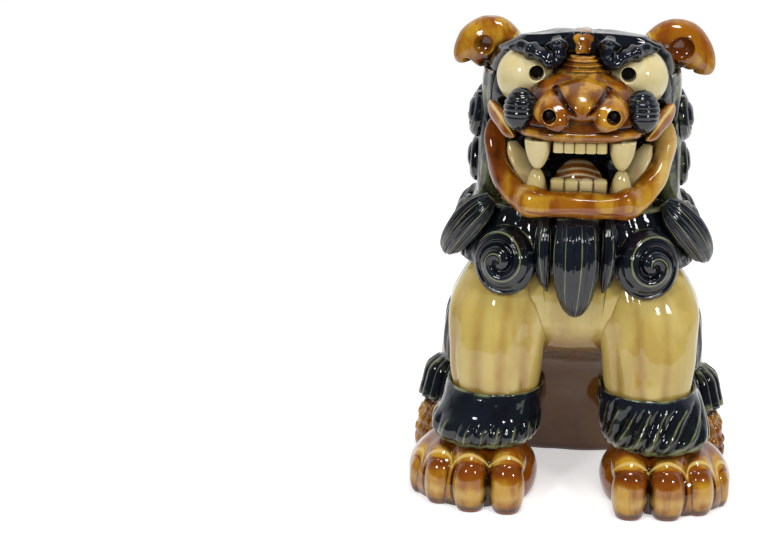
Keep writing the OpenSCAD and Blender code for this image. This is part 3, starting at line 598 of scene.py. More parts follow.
# Angle from straight ahead, half width, depth in millimetres and lean of each finger groove.
FLUTES = {-1: ((-0.62, 0.11, 0.8, 0.10), (-0.12, 0.09, 0.9, -0.10), (0.42, 0.13, 1.1, 0.10),
               (0.98, 0.12, 1.5, 0.06), (1.55, 0.15, 0.9, 0.0)),
          1: ((-0.75, 0.14, 1.2, -0.15), (-0.22, 0.10, 1.5, -0.25), (0.35, 0.09, 0.5, 0.10),
              (1.35, 0.12, 0.9, 0.10))}


def foreleg_grid(side, n=168):
    """Column of a foreleg, with brown paint along its grooves: glaze pooled in them and painted shade.
    Six broad flutes, and the narrow finger grooves of its side, each a bell curve in angle that fades
    at both ends of the leg."""
    z = column(PAW_Z, LEG_TOP, 84)
    a = around(n)
    share = (z - PAW_Z) / (LEG_TOP - PAW_Z)
    fade = np.sin(math.pi * share)
    out = 0.7 * fade * np.cos(6 * a)
    glazed = np.zeros(np.broadcast_shapes(z.shape, a.shape))
    for middle, width, depth, lean in FLUTES[side]:
        away = (a - middle - lean * (share - 0.5) + math.pi) % (2 * math.pi) - math.pi
        flute = np.exp(-(away / width) ** 2) * fade * unit(1.25 - share)
        out = out - depth * flute
        # Brown along each groove, half again as wide as it: pooled glaze and painted shade.
        glazed += 0.38 * np.exp(-(away / width / 1.5) ** 2) * unit(1.5 * fade) * unit(1.3 - share)
    glazed += 0.25 * unit((0.12 - share) / 0.12)
    return mirrored(clear_of(trunk, edge(foreleg, a, z, out)), side), glazed


for side, word in SIDES:
    leg, glazed = foreleg_grid(side)
    piece(f"foreleg_column_{word}", leg, buff, [f"foreleg_{word}"], uneven=0.5, paint=[glazed])

# %% [markdown]
# ## Cuffs and paws
# A fluted cuff of dark hair rings each ankle, and the paw below it has four toes. Each toe is a
# knuckle with a long oval claw segment in front of it. The amber glaze has run off the knuckles into
# the gaps between the toes, where the glaze that ran together and painted shade make it nearly black.

# %% Forecuffs
forecuff = (2.1, [[PAW_Z, LEG_X + 2, -50, LEG_R, 28], [39, LEG_X + 1.5, -49.5, LEG_R, 28.5],
                  [48, LEG_X - 0.5, -46, LEG_R - 1, 27], [CUFF_Z, LEG_X - 2.5, -42.5, LEG_R - 1.5, 27.5]])


def cuff_grid(side, n=216):
    """Sleeve round the ankle. Eighteen flutes, each a rounded rib between two sharp valleys: the
    outer wall is moved by the root of a sine, less at the top than at the foot."""
    a = around(n)
    z = column(PAW_Z, CUFF_Z, 26)
    share = (z - PAW_Z) / (CUFF_Z - PAW_Z)
    lean, plain = (0.15, 0.5) if side < 0 else (-0.75, 0.9)
    turn = a + lean * share + 0.12 * np.sin(2 * a + 1) + 0.05 * np.sin(5 * a)
    ribs = np.abs(np.sin(9 * turn)) ** 0.6
    combed = unit((plain - share) / 0.15)
    roll = np.minimum(1, 6 * np.minimum(share, 1 - share) + 0.3)
    bulge = 0.8 * np.sin(3 * a + 0.7) * share + 0.5 * np.sin(7 * a)
    outer = edge(forecuff, a, z, (1.3 * (2 * ribs - 1) * combed + bulge * 0.6) * roll - 1.4 * (1 - roll))
    outer = clear_of(foreleg, outer, 2)
    outer[0, :, 2] -= 0.6 * np.abs(np.sin(9 * turn[0]))
    glazed = np.minimum(0.8 * thin_line(ribs, 0.02) * combed, -0.7 * unit((0.06 - share) / 0.03))
    inner = edge(foreleg, a, column(CUFF_Z - 1, PAW_Z, 6), 0.3)
    return mirrored(np.concatenate([outer, inner]), side), np.concatenate([glazed, np.zeros((6, n))])


for side, word in SIDES:
    cuff, glazed = cuff_grid(side)
    piece(f"fluted_forecuff_{word}", cuff, dark, [f"forecuff_{word}"], loop=True, uneven=0.3,
          paint=[glazed])

# %% Paws
# Toe: x and y of its tip, half width, height, and turn outward in degrees.
FORE_TOES = [(30.5, -90, 10, 27, -3), (50, -89, 10, 27, 2), (67.5, -81, 9, 25, 12), (79, -68, 7.5, 21, 28)]
HIND_TOES = [(59, -14, 7.5, 23, -2), (70.5, -13, 7.5, 23, 4), (80, -6, 6.5, 20, 14)]
# Half length of a claw segment, and the shares of its height that are its middle and half height.
CLAW_DEPTH, CLAW_MIDDLE, CLAW_HALF = 10.5, 0.43, 0.57


def toe_point(toe, back):
    """Point a few millimetres behind the tip of a toe, along the toe."""
    turn = math.radians(toe[4])
    return toe[0] - back * math.sin(turn), toe[1] + back * math.cos(turn)


def knuckle(toe, half):
    """Ball of a knuckle behind a claw segment."""
    x, y = toe_point(toe, half + 4)
    return [(x, y, toe[3] - 5), (toe[2] * 1.02, half, 10), toe[4]]


def claw_grid(toe, side, rows=56, n=72):
    """Long oval claw segment: an ellipsoid squared off by powers of its sines and cosines, with its
    foot cut flat on the ground."""
    th = column(0.02, math.pi - 0.02, rows)
    ph = around(n)

    def square(v, k):
        """Power of the size of v, with the sign of v."""
        return np.sign(v) * np.abs(v) ** k
    x = square(np.sin(th), 0.8) * square(np.cos(ph), 0.85) * toe[2] * 0.91
    y = square(np.sin(th), 0.8) * square(np.sin(ph), 0.9) * CLAW_DEPTH
    z = square(np.cos(th), 0.85) * toe[3] * CLAW_HALF
    turn = math.radians(toe[4])
    c, s = math.cos(turn), math.sin(turn)
    cx, cy = toe_point(toe, CLAW_DEPTH)
    high = np.broadcast_to(np.maximum(toe[3] * CLAW_MIDDLE + z, 0), x.shape)
    return mirrored(np.stack([cx + x * c - y * s, cy + x * s + y * c, high], -1), side)


def knobbly(p):
    """Rows of small knobs that were pressed up on the hind paw, about 6 mm apart and 1.6 mm from
    valley to top: points are moved along the line from the heel's middle."""
    away = p - np.array([66, 2, 8.0])
    away /= np.linalg.norm(away, axis=-1, keepdims=True)
    turn, climb = np.arctan2(away[..., 1], away[..., 0]), np.arcsin(away[..., 2])
    knob = 1.6 * np.abs(np.sin(11 * turn) * np.sin(9 * climb)) ** 0.7 - 0.8
    q = p + knob[..., None] * away * unit(p[..., 2:] / 6)
    q[..., 2] = np.clip(q[..., 2], 0, HOCK_Z)
    return q


def toe_distance(p, toe):
    """Distance in millimetres, nearly, of points from the surface of a claw segment."""
    turn = math.radians(toe[4])
    c, s = math.cos(turn), math.sin(turn)
    cx, cy = toe_point(toe, CLAW_DEPTH)
    x, y = np.abs(p[:, 0]) - cx, p[:, 1] - cy
    across = (x * c + y * s) / toe[2]
    along = (y * c - x * s) / CLAW_DEPTH
    up = (p[:, 2] - toe[3] * CLAW_MIDDLE) / (toe[3] * CLAW_HALF)
    return (np.sqrt(across ** 2 + along ** 2 + up ** 2) - 1) * toe[2]


def palm_paint(toes):
    """A dark line runs round each claw segment, with a pale crescent behind it where the glaze has
    run off the knuckle."""
    def paint(p):
        """Paint of the points, by their distance from the nearest claw segment."""
        near = np.min([toe_distance(p, toe) for toe in toes], axis=0)
        high = unit((p[:, 2] - 14) / 5)
        line = unit(1.2 - near / 0.9)
        crescent = bell(near, 1.45, 0.27) * high
        rust = 0.45 * unit((near - 2.2) / 1.2)
        return np.where(line > 0.3, line, rust - 1.1 * crescent)
    return paint


def claw_paint(p):
    """Rust at the top of the claw segments, clear amber on their fronts, dark glaze at their feet."""
    return (0.65 * unit((p[:, 2] - 16) / 6) - 0.45 * bell(p[:, 2], 10, 5)
            + 0.9 * unit((3 - p[:, 2]) / 3))


for side, word in SIDES:
    balls = [[(50, -50, 9), (34, 33, 24), 0]] + [knuckle(t, 17) for t in FORE_TOES]
    palm = lump((50, -55, 8), balls, 150, 260, floor=0, ceiling=PAW_Z)
    piece(f"forepaw_palm_{word}", mirrored(palm, side), amber, [f"forepaw_{word}"], uneven=0.4,
          paint=palm_paint(FORE_TOES))
    piece(f"forepaw_toes_{word}", [claw_grid(t, side) for t in FORE_TOES], amber, [f"foreclaws_{word}"],
          uneven=0.3, paint=claw_paint)
    balls = [[(68, 0, 4), (17, 14.6, 24.6), 0]] + [knuckle(t, 10) for t in HIND_TOES]
    heel = knobbly(lump((68, 0, 6), balls, 150, 260, floor=0, ceiling=HOCK_Z))
    piece(f"hindpaw_palm_{word}", mirrored(heel, side), brown, [f"hindpaw_{word}"], uneven=0.3)
    piece(f"hindpaw_toes_{word}", [claw_grid(t, side) for t in HIND_TOES], amber, [f"hindclaws_{word}"],
          uneven=0.4, paint=claw_paint)

# %% [markdown]
# ## Hindquarters
# The lion sits, so the thigh stands upright beside the trunk and the hind paw shows below it. Dark
# hair rings the ankle, a tuft of it stands behind the elbow, and the tail is a ribbed flame that
# lies against the back.

# %% Thighs and ankles
haunch = (2.6, [[0, 54, HAUNCH_Y + 22, 20, 22], [14, 53, HAUNCH_Y + 24, 21, 24],
                [32, 51, HAUNCH_Y + 24, 23, 24.5], [48, 49, HAUNCH_Y + 26.5, 24, 26],
                [64, 46, HAUNCH_Y + 24, 22, 27], [78, 43, HAUNCH_Y + 20, 18, 23],
                [HAUNCH_TOP, 40, HAUNCH_Y + 20, 9, 12]])
hock = (2.2, [[HOCK_Z, 66, 10, 17.5, 16], [34, 65, 11, 17, 15.5], [44, 63, 13, 16, 14],
              [HOCK_TOP, 61, 14, 12, 10]])


def haunch_grid(side, n=120):
    """Thigh: the rings of its mass, moved out of the trunk it lies on."""
    levels = column(0, HAUNCH_TOP, 60)
    return mirrored(clear_of(trunk, edge(haunch, around(n), levels)), side)


def hock_grid(side, n=144):
    """Cuff on the hind paw with sixteen flutes, flattened where it lies on the thigh."""
    z = column(HOCK_Z, HOCK_TOP, 16)
    a = around(n)
    p = clear_of(trunk, edge(hock, a, z, 0.8 * (2 * np.abs(np.sin(8 * a)) ** 0.6 - 1)))
    p[..., 1] = np.minimum(p[..., 1], HAUNCH_Y)
    return mirrored(p, side)


for side, word in SIDES:
    piece(f"haunch_{word}_thigh", haunch_grid(side), buff, [f"haunch_{word}"])
    piece(f"fluted_hindcuff_{word}", hock_grid(side), dark, [f"hindcuff_{word}"])

# %% Elbow tufts, tail and the curls on the spine
def off_the_limbs(p):
    """Points moved out of the trunk, foreleg, cuffs and thigh."""
    for mass in (haunch, hock, forecuff, foreleg, trunk):
        p = clear_of(mass, p)
    return p


tuft_path = path(0, (60, 0, 50, 8, 8), (59, 0, 60, 10, 9), (58, -2, 71, 10.5, 10), (56, -2, 86, 9.5, 9),
                 (52, 0, 102, 2, 3))
tail_path = path(0, (0, RUMP + 6, 0, 14, 12), (0, RUMP + 8, 24, 19, 12), (0, RUMP + 7, 48, 22, 12),
                 (0, RUMP + 2, 70, 19, 10), (0, RUMP - 1, 88, 13, 9), (0, RUMP - 3, 102, 6, 7),
                 (0, RUMP - 3, 112, 1, 2))
for side, word in SIDES:
    tuft = bar(tuft_path, (0, 1, 0), 60, 96, 5, 0.07, clear=off_the_limbs,
               shape=lambda t, a: 1 + 0.03 * np.cos(15 * a + 8 * t))
    piece(f"elbow_fur_{word}", mirrored(tuft, side), dark, [f"elbow_tuft_{word}"])


def off_the_back(p):
    """Points moved out of the trunk and kept above the ground."""
    p = clear_of(trunk, p)
    p[..., 2] = np.maximum(p[..., 2], 0)
    return p


flame = bar(tail_path, (0, 1, 0), 90, 144, 6, 0.07, clear=off_the_back,
            shape=lambda t, a: 1 + 0.03 * np.cos(18 * a + 10 * t))
piece("flame_tail", flame, dark, ["tail"])
piece("spine_hair", [curl(trunk, 180 + a, 92, 12.5, 6.25, CURL_TURNS) for a in (-26, 26)], dark,
      ["spine_curls"])

# %% [markdown]
# ## Head
# The head is a hollow rounded box with a flat top. The mouth is cut right through its front wall,
# and the pupils and nostrils are pierced with a stick, so one sees into the dark hollow; a near-black
# lump in each hole is painted shade.

# %% Skull
skull = rings(2.8, NECK, (0, SKULL_W - 9, -38, 36), (12, SKULL_W - 6, -37, 40), (28, SKULL_W - 3, -38, 43),
             (45, SKULL_W - 0.5, -40, 42), (58, SKULL_W, -40, 36),
             (HEAD_H - 17, SKULL_W - 1.5, -39.5, 24), (HEAD_H - 10.5, SKULL_W - 4.5, -38.5, 10),
             (HEAD_H - 4, SKULL_W - 10, -37, -6), (HEAD_H, SKULL_W - 18, -34, -20))
SKULL_TOP = NECK + HEAD_H


def clear_of_skull(p, gap=0.0):
    """Points moved out of the head, up to the crown or sideways, whichever is nearer. The height of
    the crown over a point is found by halving an interval ten times."""
    q = clear_of(skull, p, gap)
    inside = np.abs(q - p).sum(-1) > 0
    low, high = p[..., 2].copy(), np.full(p.shape[:-1], SKULL_TOP)
    for _ in range(10):
        middle = (low + high) / 2
        probe = np.stack([p[..., 0], p[..., 1], middle], -1)
        within = np.abs(clear_of(skull, probe) - probe).sum(-1) > 0
        low, high = np.where(within, middle, low), np.where(within, high, middle)
    up = inside & (high + gap - p[..., 2] < np.linalg.norm(q - p, axis=-1))
    return np.where(up[..., None], np.stack([p[..., 0], p[..., 1], high + gap], -1), q)


def clear_of_eyes(p, gap=0.0):
    """Points moved out of both eyeballs."""
    p = clear_of_ball(EYE, EYE_R, p, gap)
    return clear_of_ball(mirrored(EYE, -1), EYE_R, p, gap)


def off_the_face(p):
    """Points moved out of the eyes and, level by level, out of the skull."""
    return clear_of(skull, clear_of_eyes(p))


def skull_grid(n=200):
    """Outer wall of the head, with a crown that falls back from the brow. In front, the points
    between the lips are moved back by 26 mm, with steep walls, which makes the mouth."""
    rise = np.sin(np.linspace(0, math.pi / 2, 110))
    z = np.concatenate([NECK + HEAD_H * rise, np.full(8, SKULL_TOP)])[:, None]
    share = np.concatenate([np.ones(110), np.linspace(0.9, 0.05, 8)])[:, None]
    a = around(n)
    tufts = (1.3 * unit((z - NECK - 70) / 8) * np.sin(9 * a + 2 * np.sin(z / 2.5))
             * np.cos(z / 2.2 + 3 * np.sin(4 * a)))
    p = edge(skull, a, z, tufts * share)
    middle = curve(skull[1], z)[..., 1:3]
    crown = 3.5 * unit(1 - (p[..., 0] * share / 36) ** 2) * unit((z - SKULL_TOP + 8) / 8) ** 2
    inward = middle + (p[..., :2] - middle) * share[..., None]
    p = np.concatenate([inward, (p[..., 2] + crown)[..., None]], -1)
    wide = unit((MOUTH_W + 1 - np.abs(p[..., 0])) / 1.5)
    tall = unit((p[..., 2] - FLOOR_Z) / 1.2) * unit((LIP_Z - 2 - p[..., 2]) / 1.2)
    p[..., 1] += MOUTH_DEPTH * wide * tall * (p[..., 1] < -14)
    return p


piece("head_shell", skull_grid(), dark, ["head"], rounds=4, uneven=0.6)

# %% [markdown]
# ## Eyes
# An eye is a ball of clay pressed into the head and pierced off its middle. The surface is drawn as
# rings about the pupil: down the wall of the hole first, then over its rim, then out over the ball.

# %% Eyeballs
def eye_grid(side, n=96):
    """Rings about the axis of the pupil. For each direction the ring radius runs from the hole's rim
    to the outline of the ball as seen from the front, and the depth follows the ball."""
    px, pz, pr = PUPIL
    ph = around(n)
    off = np.array([px - EYE[0], pz - EYE[2]])
    b = off[0] * np.cos(ph) + off[1] * np.sin(ph)
    out = -b + np.sqrt(b ** 2 - (off ** 2).sum() + EYE_R ** 2)
    share = np.sin(np.linspace(0, math.pi / 2, 34))[:, None]
    rho = pr + 0.5 + (out * 0.9995 - pr - 0.5) * share

    def depth(r):
        """Depth of the ball's front on the ring of radius r about the pupil."""
        x, z = px + r * np.cos(ph) - EYE[0], pz + r * np.sin(ph) - EYE[2]
        return EYE[1] - np.sqrt(np.maximum(EYE_R ** 2 - x ** 2 - z ** 2, 0))
    front = np.stack([px + rho * np.cos(ph), depth(rho), pz + rho * np.sin(ph)], -1)
    rim = []
    for r, sink in ((0.3 * pr, 13), (pr * 0.97, 13), (pr, 8), (pr, 4), (pr, 1.6), (pr + 0.03, 0.9),
                    (pr + 0.15, 0.35)):
        y = depth(pr + 0.5) + sink
        rim.append(np.stack([px + r * np.cos(ph[0]), y[0], pz + r * np.sin(ph[0])], -1))
    back = front[-1][None] * np.array([1, 0, 1]) + np.array([0, EYE[1] + 3, 0])
    return mirrored(np.concatenate([np.array(rim), front, back]), side)


for side, word in SIDES:
    piece(f"eyeball_{word}", eye_grid(side), pale, [f"eye_{word}"], rounds=3)
    behind = (PUPIL[0] * side, EYE[1] - 4.6, PUPIL[1])
    # A near-black lump inside the pierced pupil: painted shade.
    piece(f"pupil_painted_shade_{word}", lump(behind, [[behind, (3.6, 2.5, 3.6), 0]], 24, 40), hole_shade)

# %% [markdown]
# ## Ears, brows and stripe
# The ear is a thick cup that curls outward at its tip. Over the eye the maker laid a knobbly coil,
# rolled up to a small ball beside the forehead. An amber stripe runs back over the flat crown.

# %% Ears
ear_root = ((SKULL_W - 15, 8, 74, 7, 7), (SKULL_W - 6, 10, 75.5, 12, 9), (SKULL_W + 2, 11, 74.5, 13, 10),
            (SKULL_W + 9, 11, 70, 10.5, 8))
ear_tip = {1: ((SKULL_W + 12.5, 11, 64, 7.5, 6.5), (SKULL_W + 12, 11, 60, 3.5, 3.5)),
           -1: ((SKULL_W + 12, 11, 67, 6.5, 6), (SKULL_W + 11, 11, 64, 3, 3))}
EAR_HOLLOW = 6.5


def ear_middle(side):
    """Middle of the ball that hollows an ear. It lies farther in front of the left one."""
    return np.array([SKULL_W + 2, -2 if side < 0 else 0.5, NECK + 74.0])


def ear_grid(side):
    """Cup of the ear: a fat bar whose front points are pushed back out of the ball that hollows it.
    The left one has a shorter tip."""
    p = bar(path(NECK, *ear_root, *ear_tip[side]), (0, -1, 0), 90, 120, clear=clear_of_skull)
    v = p - ear_middle(side)
    d = np.linalg.norm(v, axis=-1, keepdims=True)
    pushed = ear_middle(side) + v * EAR_HOLLOW / np.maximum(d, 1e-6)
    return mirrored(np.where(d < EAR_HOLLOW, pushed, p), side)


def ear_paint(side):
    """Rust-coloured glaze along the outer rim of the ear and in its hollow, more in the right one."""
    def paint(p):
        """Paint of the points, by their distance from the ball that hollows the ear."""
        away = np.linalg.norm(mirrored(p, side) - ear_middle(side), axis=1)
        hollow = unit((EAR_HOLLOW + 1 - away) / 1.5)
        return (0.5 if side > 0 else 0.1) * hollow + 0.2 * unit((np.abs(p[:, 0]) - 58) / 6)
    return paint


brow_path = path(NECK, (13, -38.5, 86, 2, 2), (12.5, -41, 82, 5.8, 5.4), (12.5, -43.5, 76.5, 3.2, 3.4),
                 (16, -44.5, 75.5, 4.4, 4.2), (20.5, -44.5, 77.8, 3.2, 3.4), (25, -43, 79.5, 4.4, 4.2),
                 (30, -40, 81, 3.2, 3.4), (36, -37, 80, 1.2, 1.4))
stripe_path = path(SKULL_TOP, (0, -2, -3, 1, 1), (0, -10, 0.5, 3.5, 2), (0, -22, 2.6, 4.6, 1.6),
                   (0, -33, 1.8, 4.8, 1.6), (0, -37.5, -2.5, 4.2, 1.4), (0, -39.5, -6, 3, 1.2))
for side, word in SIDES:
    piece(f"cupped_ear_{word}", ear_grid(side), amber, [f"ear_{word}"], uneven=0.5,
          paint=ear_paint(side))
    brow = bar(brow_path, (0, -1, 1), 120, 48, clear=lambda q: clear_of_skull(clear_of_eyes(q)),
               shape=lambda t, a: 1 + 0.10 * np.cos(3 * a + 9 * t) + 0.10 * np.cos(42 * t + 1))
    piece(f"brow_coil_{word}", mirrored(brow, side), dark, [f"brow_{word}"], uneven=0.4)
stripe = bar(stripe_path, (0, 0, 1), 60, 48, clear=clear_of_skull,
             shape=lambda t, a: 1 + 0.15 * np.cos(20 * t + 2 * a))
piece("crown_stripe", stripe, brown, ["forehead_stripe"], uneven=0.4)

# %% [markdown]
# ## Muzzle and nose
# The muzzle is a short box under the eyes whose lower edge is the upper lip. The nose lies on it:
# a round bulb in the middle and a wing with a pierced nostril on either side, parted by two dark
# creases. Ribbed whisker pads sit beside it.

# %% Muzzle with its lip
muzzle = rings(2.8, LIP_Z, (0, 29, -70, -25), (4, 30.5, -71.5, -25), (9, 29.5, -69, -25),
              (15, 28.5, -65.5, -25), (20, 26.5, -61.5, -25), (24, 23, -57.5, -25), (28, 16, -52.5, -25),
              (30, 12, -50, -25))


def muzzle_grid(n=200):
    """Rings of the muzzle. A rounded band 6 mm high stands out 1 mm at its foot as the lip, with a
    groove above it."""
    z = column(LIP_Z, LIP_Z + 30, 76)
    s = z - LIP_Z
    lip = np.exp(-((s - 3) / 2.2) ** 4) - 1.1 * bell(s, 6.6, 0.9) - 1.6 * unit(1 - s / 1.2) ** 2
    return off_the_face(edge(muzzle, around(n), z, lip))


def bridge_grid(n=96):
    """Folds between the eyes: rings that shrink upward and swell three times."""
    k = column(0, 9, 64)
    a = around(n)
    g = 1.2 * unit(np.cos(2 * math.pi * (k - 1) / 3)) ** 0.8
    r = 12 - k * 0.65 + g
    d = 10.5 - k * 0.4 + g
    return off_the_face(points(r * np.sin(a), -40 - d * np.cos(a), LIP_Z + 30.4 + k * 0.76))


def muzzle_paint(p):
    """Dark line over the lip band, a rust-coloured lower edge, and a brown band beside the nose that
    runs up under the eyes, deeper on the left."""
    s = p[:, 2] - LIP_Z
    beside = bell(np.abs(p[:, 0]), 22, 4) * unit((s - 6) / 4)
    return bell(s, 6.8, 0.8) + 0.5 * unit(1 - s / 1.5) + np.where(p[:, 0] < 0, 0.8, 0.5) * beside


piece("muzzle_and_upper_lip", muzzle_grid(), brown, ["muzzle"], uneven=0.4, paint=muzzle_paint)
piece("folded_nose_bridge", bridge_grid(), brown, ["nose_bridge"], rounds=4, uneven=0.3)

# %% Nose
def bump(x, z, cx, cz, rx, rz):
    """Share of an elliptic dome over a plane: 1 in its middle, 0 at its edge."""
    return np.maximum(0, 1 - ((x - cx) / rx) ** 2 - ((z - cz) / rz) ** 2)


def muzzle_front(x, z):
    """Depth of the muzzle's front at a place of the face."""
    q = curve(muzzle[1], z)
    share, power = np.minimum(1, np.abs(x) / q[..., 3]), muzzle[0]
    return q[..., 2] - q[..., 4] * np.maximum(0, 1 - share ** power) ** (1 / power)


def nose_crease(x, z):
    """Share, from 0 to 1, of the crease between bulb and wing: a bell curve about a line that runs
    down and inward, from 14 mm off the middle at 65 mm over the neck to 4 mm at 55 mm."""
    along = unit((z - 53.5) / 2) * unit((68 - z) / 3)
    wide = 1.3 + 0.12 * np.clip(z - 55, 0, 10)
    return along * np.exp(-((np.abs(x) - 4.6 - 0.95 * (z - 55.5)) / wide) ** 2)


def nose_paint(p):
    """Dark glaze in the creases, rust on the wings' lower edge, and a paler middle of the bulb, which is
    paler glaze and a painted highlight.
    """
    z = p[:, 2] - NECK
    # Paler middle of the bulb: paler glaze, with a painted highlight there.
    ball = np.exp(-(p[:, 0] / 6) ** 2 - ((z - 62) / 5) ** 2)
    return 1.15 * nose_crease(p[:, 0], z) + 0.5 * unit((51 - z) / 5) - 0.55 * ball


def nose_grid(n=240, rows=110):
    """Disc of points over the front of the muzzle, lifted by three domes, the bulb and the two wings,
    joined by the fourth root of the sum of their fourth powers. The nostrils are pits 7 mm deep."""
    a = around(n)
    s = np.concatenate([[0.2, 0.6, 1.0], 1 - np.linspace(0, 1, rows, endpoint=False)])[:, None]
    lift = np.concatenate([[0, 0, 0], np.ones(rows)])[:, None]
    x = 23.5 * s * np.cos(a)
    zz = 54 + 9 * s * np.sin(a) + 6 * s * np.maximum(0, np.sin(a)) * np.sin(a) ** 2
    bulb = 10.5 * bump(x, zz, 0, 61.5, 13.5, 12) ** 0.75
    wing = 8 * (bump(x, zz, 15, 54, 10.5, 9.5) ** 0.6 + bump(x, zz, -15, 54, 10.5, 9.5) ** 0.6)
    rise = 0.8 + (bulb ** 4 + wing ** 4) ** 0.25 - 3.0 * nose_crease(x, zz)
    hole = np.hypot(np.abs(x) - NOSTRIL[0], zz + NECK - NOSTRIL[1])
    rise = rise - 7 * unit((NOSTRIL[2] + 0.25 - hole) / 0.5)
    edge_fade = unit((1 - s) / 0.06) ** 0.5
    y = muzzle_front(x, zz + NECK) - lift * rise * (0.25 + 0.75 * edge_fade)
    return np.stack([x, y, zz + NECK], -1)


piece("nose_bulb_and_wings", nose_grid(), brown, ["nose"], rounds=5, uneven=0.3, paint=nose_paint)
for side, word in SIDES:
    where = (NOSTRIL[0] * side, -66.3, NOSTRIL[1])
    # A near-black lump inside the nostril: painted shade.
    piece(f"nostril_painted_shade_{word}", lump(where, [[where, (3.3, 3.0, 3.3), 0]], 24, 40), hole_shade)

# %% Whisker pads
PAD, PAD_R, PAD_HIGH = (29.3, -57.5, NECK + 53.5), 8.5, 11


def pad_grid(side, n=96, rows=84):
    """Egg of clay with level ribs on its upper part: its radius swells with the root of a sine."""
    s = np.sin(np.linspace(-math.pi / 2, math.pi / 2, rows))[:, None] * 0.999
    a = around(n)
    w = np.sqrt(1 - s ** 2)
    g = 1 - 0.11 * (1 - np.abs(np.sin(math.pi * 11 * s / 2.7)) ** 0.5) * unit((s + 0.35) / 0.2)
    p = points(PAD[0] + PAD_R * g * w * np.sin(a), PAD[1] - PAD_R * g * w * np.cos(a), PAD[2] + PAD_HIGH * s)
    return mirrored(off_the_face(clear_of(muzzle, p)), side)


def pad_rib_highlights(p):
    """Painted highlights: pale olive lines along the crests of the pad's ribs, at half strength."""
    ribs = np.abs(np.sin(math.pi * (p[:, 2] - NECK - 53.5) / 2.7))
    return 0.5 * thin_line(ribs, 0.02) * (p[:, 2] > NECK + 52)


for side, word in SIDES:
    piece(f"ribbed_whisker_pad_{word}", pad_grid(side), dark, [f"whisker_pad_{word}"], rounds=4,
          uneven=0.25, paint=pad_rib_highlights)

# %% Folds at the corners of the mouth
corner_path = path(LIP_Z, (32.5, -58, 0, 1, 1), (35, -53, 1.5, 3.2, 3.6), (38, -46, 4.5, 3.8, 4),
                   (42, -37, 7.5, 3.8, 4), (44.5, -30, 9.5, 2.6, 3), (45.5, -26, 10, 1, 1))
for side, word in SIDES:
    fold = bar(corner_path, (0, 0, 1), 70, 48, clear=lambda q: clear_of_skull(clear_of(muzzle, q)))
    # A pale line along the side of each fold that faces up and forward is a painted highlight; the rest has
    # streak colour.
    crest = 0.35 - 1.25 * bell(around(48), math.radians(125), 0.30) * np.ones((71, 1))
    piece(f"lip_fold_{word}", mirrored(fold, side), amber, [f"lip_corner_{word}"], uneven=0.3, paint=[crest])

# %% [markdown]
# ## Mouth
# The lower jaw is one thick roll of clay that turns up at both corners and carries a floor, on which
# teeth, fangs and tongue stand. Teeth are separate pegs, glazed cream, with brown in the gaps that is
# glaze and painted shade.

# %% Lower jaw
lip_half = path(NECK, (0, -62, 7.2, 6.5, 7), (13, -61.5, 7, 6.5, 7), (22, -59, 7.5, 6.8, 7),
                (30, -52.5, 10, 6.8, 6.5), (36.5, -45.5, 15.5, 6.2, 6), (41, -38, 24, 5.8, 5.5),
                (43, -33, 33, 5.3, 5), (43.5, -31, 40, 3.5, 3.5), (43.5, -30.5, 43.5, 1.2, 1.2))
lip_path = [[-q[0], -q[1], *q[2:]] for q in reversed(lip_half[1:])] + lip_half


def jaw_floor():
    """Flat plate behind the roll, six millimetres thick, as rings of a rounded square."""
    z = np.array([0.0, 0.6, 5.4, 6.0])[:, None] + NECK
    inset = np.array([0.8, 0, 0, 0.8])[:, None]
    a = around(96)
    w, d = 30 - inset, 11 - inset
    r = (np.abs(np.sin(a) / w) ** 3 + np.abs(np.cos(a) / d) ** 3) ** (-1 / 3)
    return points(r * np.sin(a), -50 - r * np.cos(a), z)


def under_the_fangs(t, a):
    """Swelling of the lip under both lower fangs, a smaller one in its middle, and a soft unevenness.
    The path's share t is 0.5 in the middle of the lip."""
    bulge = bell(t, 0.37, 0.028) + bell(t, 0.63, 0.028)
    middle = bell(t, 0.5, 0.035)
    return 0.98 + 0.20 * bulge + 0.07 * middle + 0.05 * np.cos(3 * a + 20 * t) + 0.03 * np.cos(50 * t)


def jaw_paint(p):
    """Rust under the chin and up its left side, clear amber on its right side, and a dark line along
    the front of the lip that paints the shade of a fold there over glaze pooled in it."""
    x, z = np.abs(p[:, 0]), p[:, 2] - NECK
    front = unit((30 - x) / 6)
    # Dark line along the lip's front: painted shade of a fold, with glaze pooled in it.
    fold = np.exp(-((z - 5.0 - 1.2 * np.cos(x / 6.5)) / 0.8) ** 2) * front * (p[:, 1] < -62)
    under_fang = np.exp(-((x - 21) / 7) ** 2 - ((z - 13.5) / 1.5) ** 2)
    corner = unit((x - 34) / 6) * np.where(p[:, 0] < 0, 0.7, -0.6)
    return 0.55 * unit((3 - z) / 4) + 0.6 * fold + 0.5 * under_fang + corner


roll = bar(lip_path, (0, 1, -0.3), 260, 96, clear=clear_of_skull, shape=under_the_fangs)
piece("lower_jaw_roll", [roll, jaw_floor()], amber, ["lower_jaw"], uneven=0.45, paint=jaw_paint)

# %% Teeth, fangs and tongue
def peg(x, y, z, r, h, tip, up, n=48, rows=40):
    """Blunt cone: its radius follows a quarter circle from the gum to a small flat tip."""
    a = around(n)
    t = column(0, math.pi / 2, rows)
    rad = tip * np.minimum(1, (math.pi / 2 - t) * 6) + (r - tip) * (1 - np.sin(t) ** 1.9) ** 0.68
    height = h * np.sin(t)
    sign = 1 if up else -1
    return points(x + rad * np.cos(a), y + rad * np.sin(a), z + sign * height)


def block(x, y, z, w, d, h, n=48, rows=20):
    """Tooth: a rounded square peg with a soft top."""
    t = column(0, 1, rows)
    a = around(n)
    shrink = np.sqrt(np.clip(1 - unit((np.abs(2 * t - 1) - 0.75) / 0.26) ** 2, 0.02, 1))
    r = (np.abs(np.cos(a) / w) ** 4 + np.abs(np.sin(a) / d) ** 4) ** (-1 / 4) * shrink
    return points(x + r * np.cos(a), y + r * np.sin(a), z + h * t)


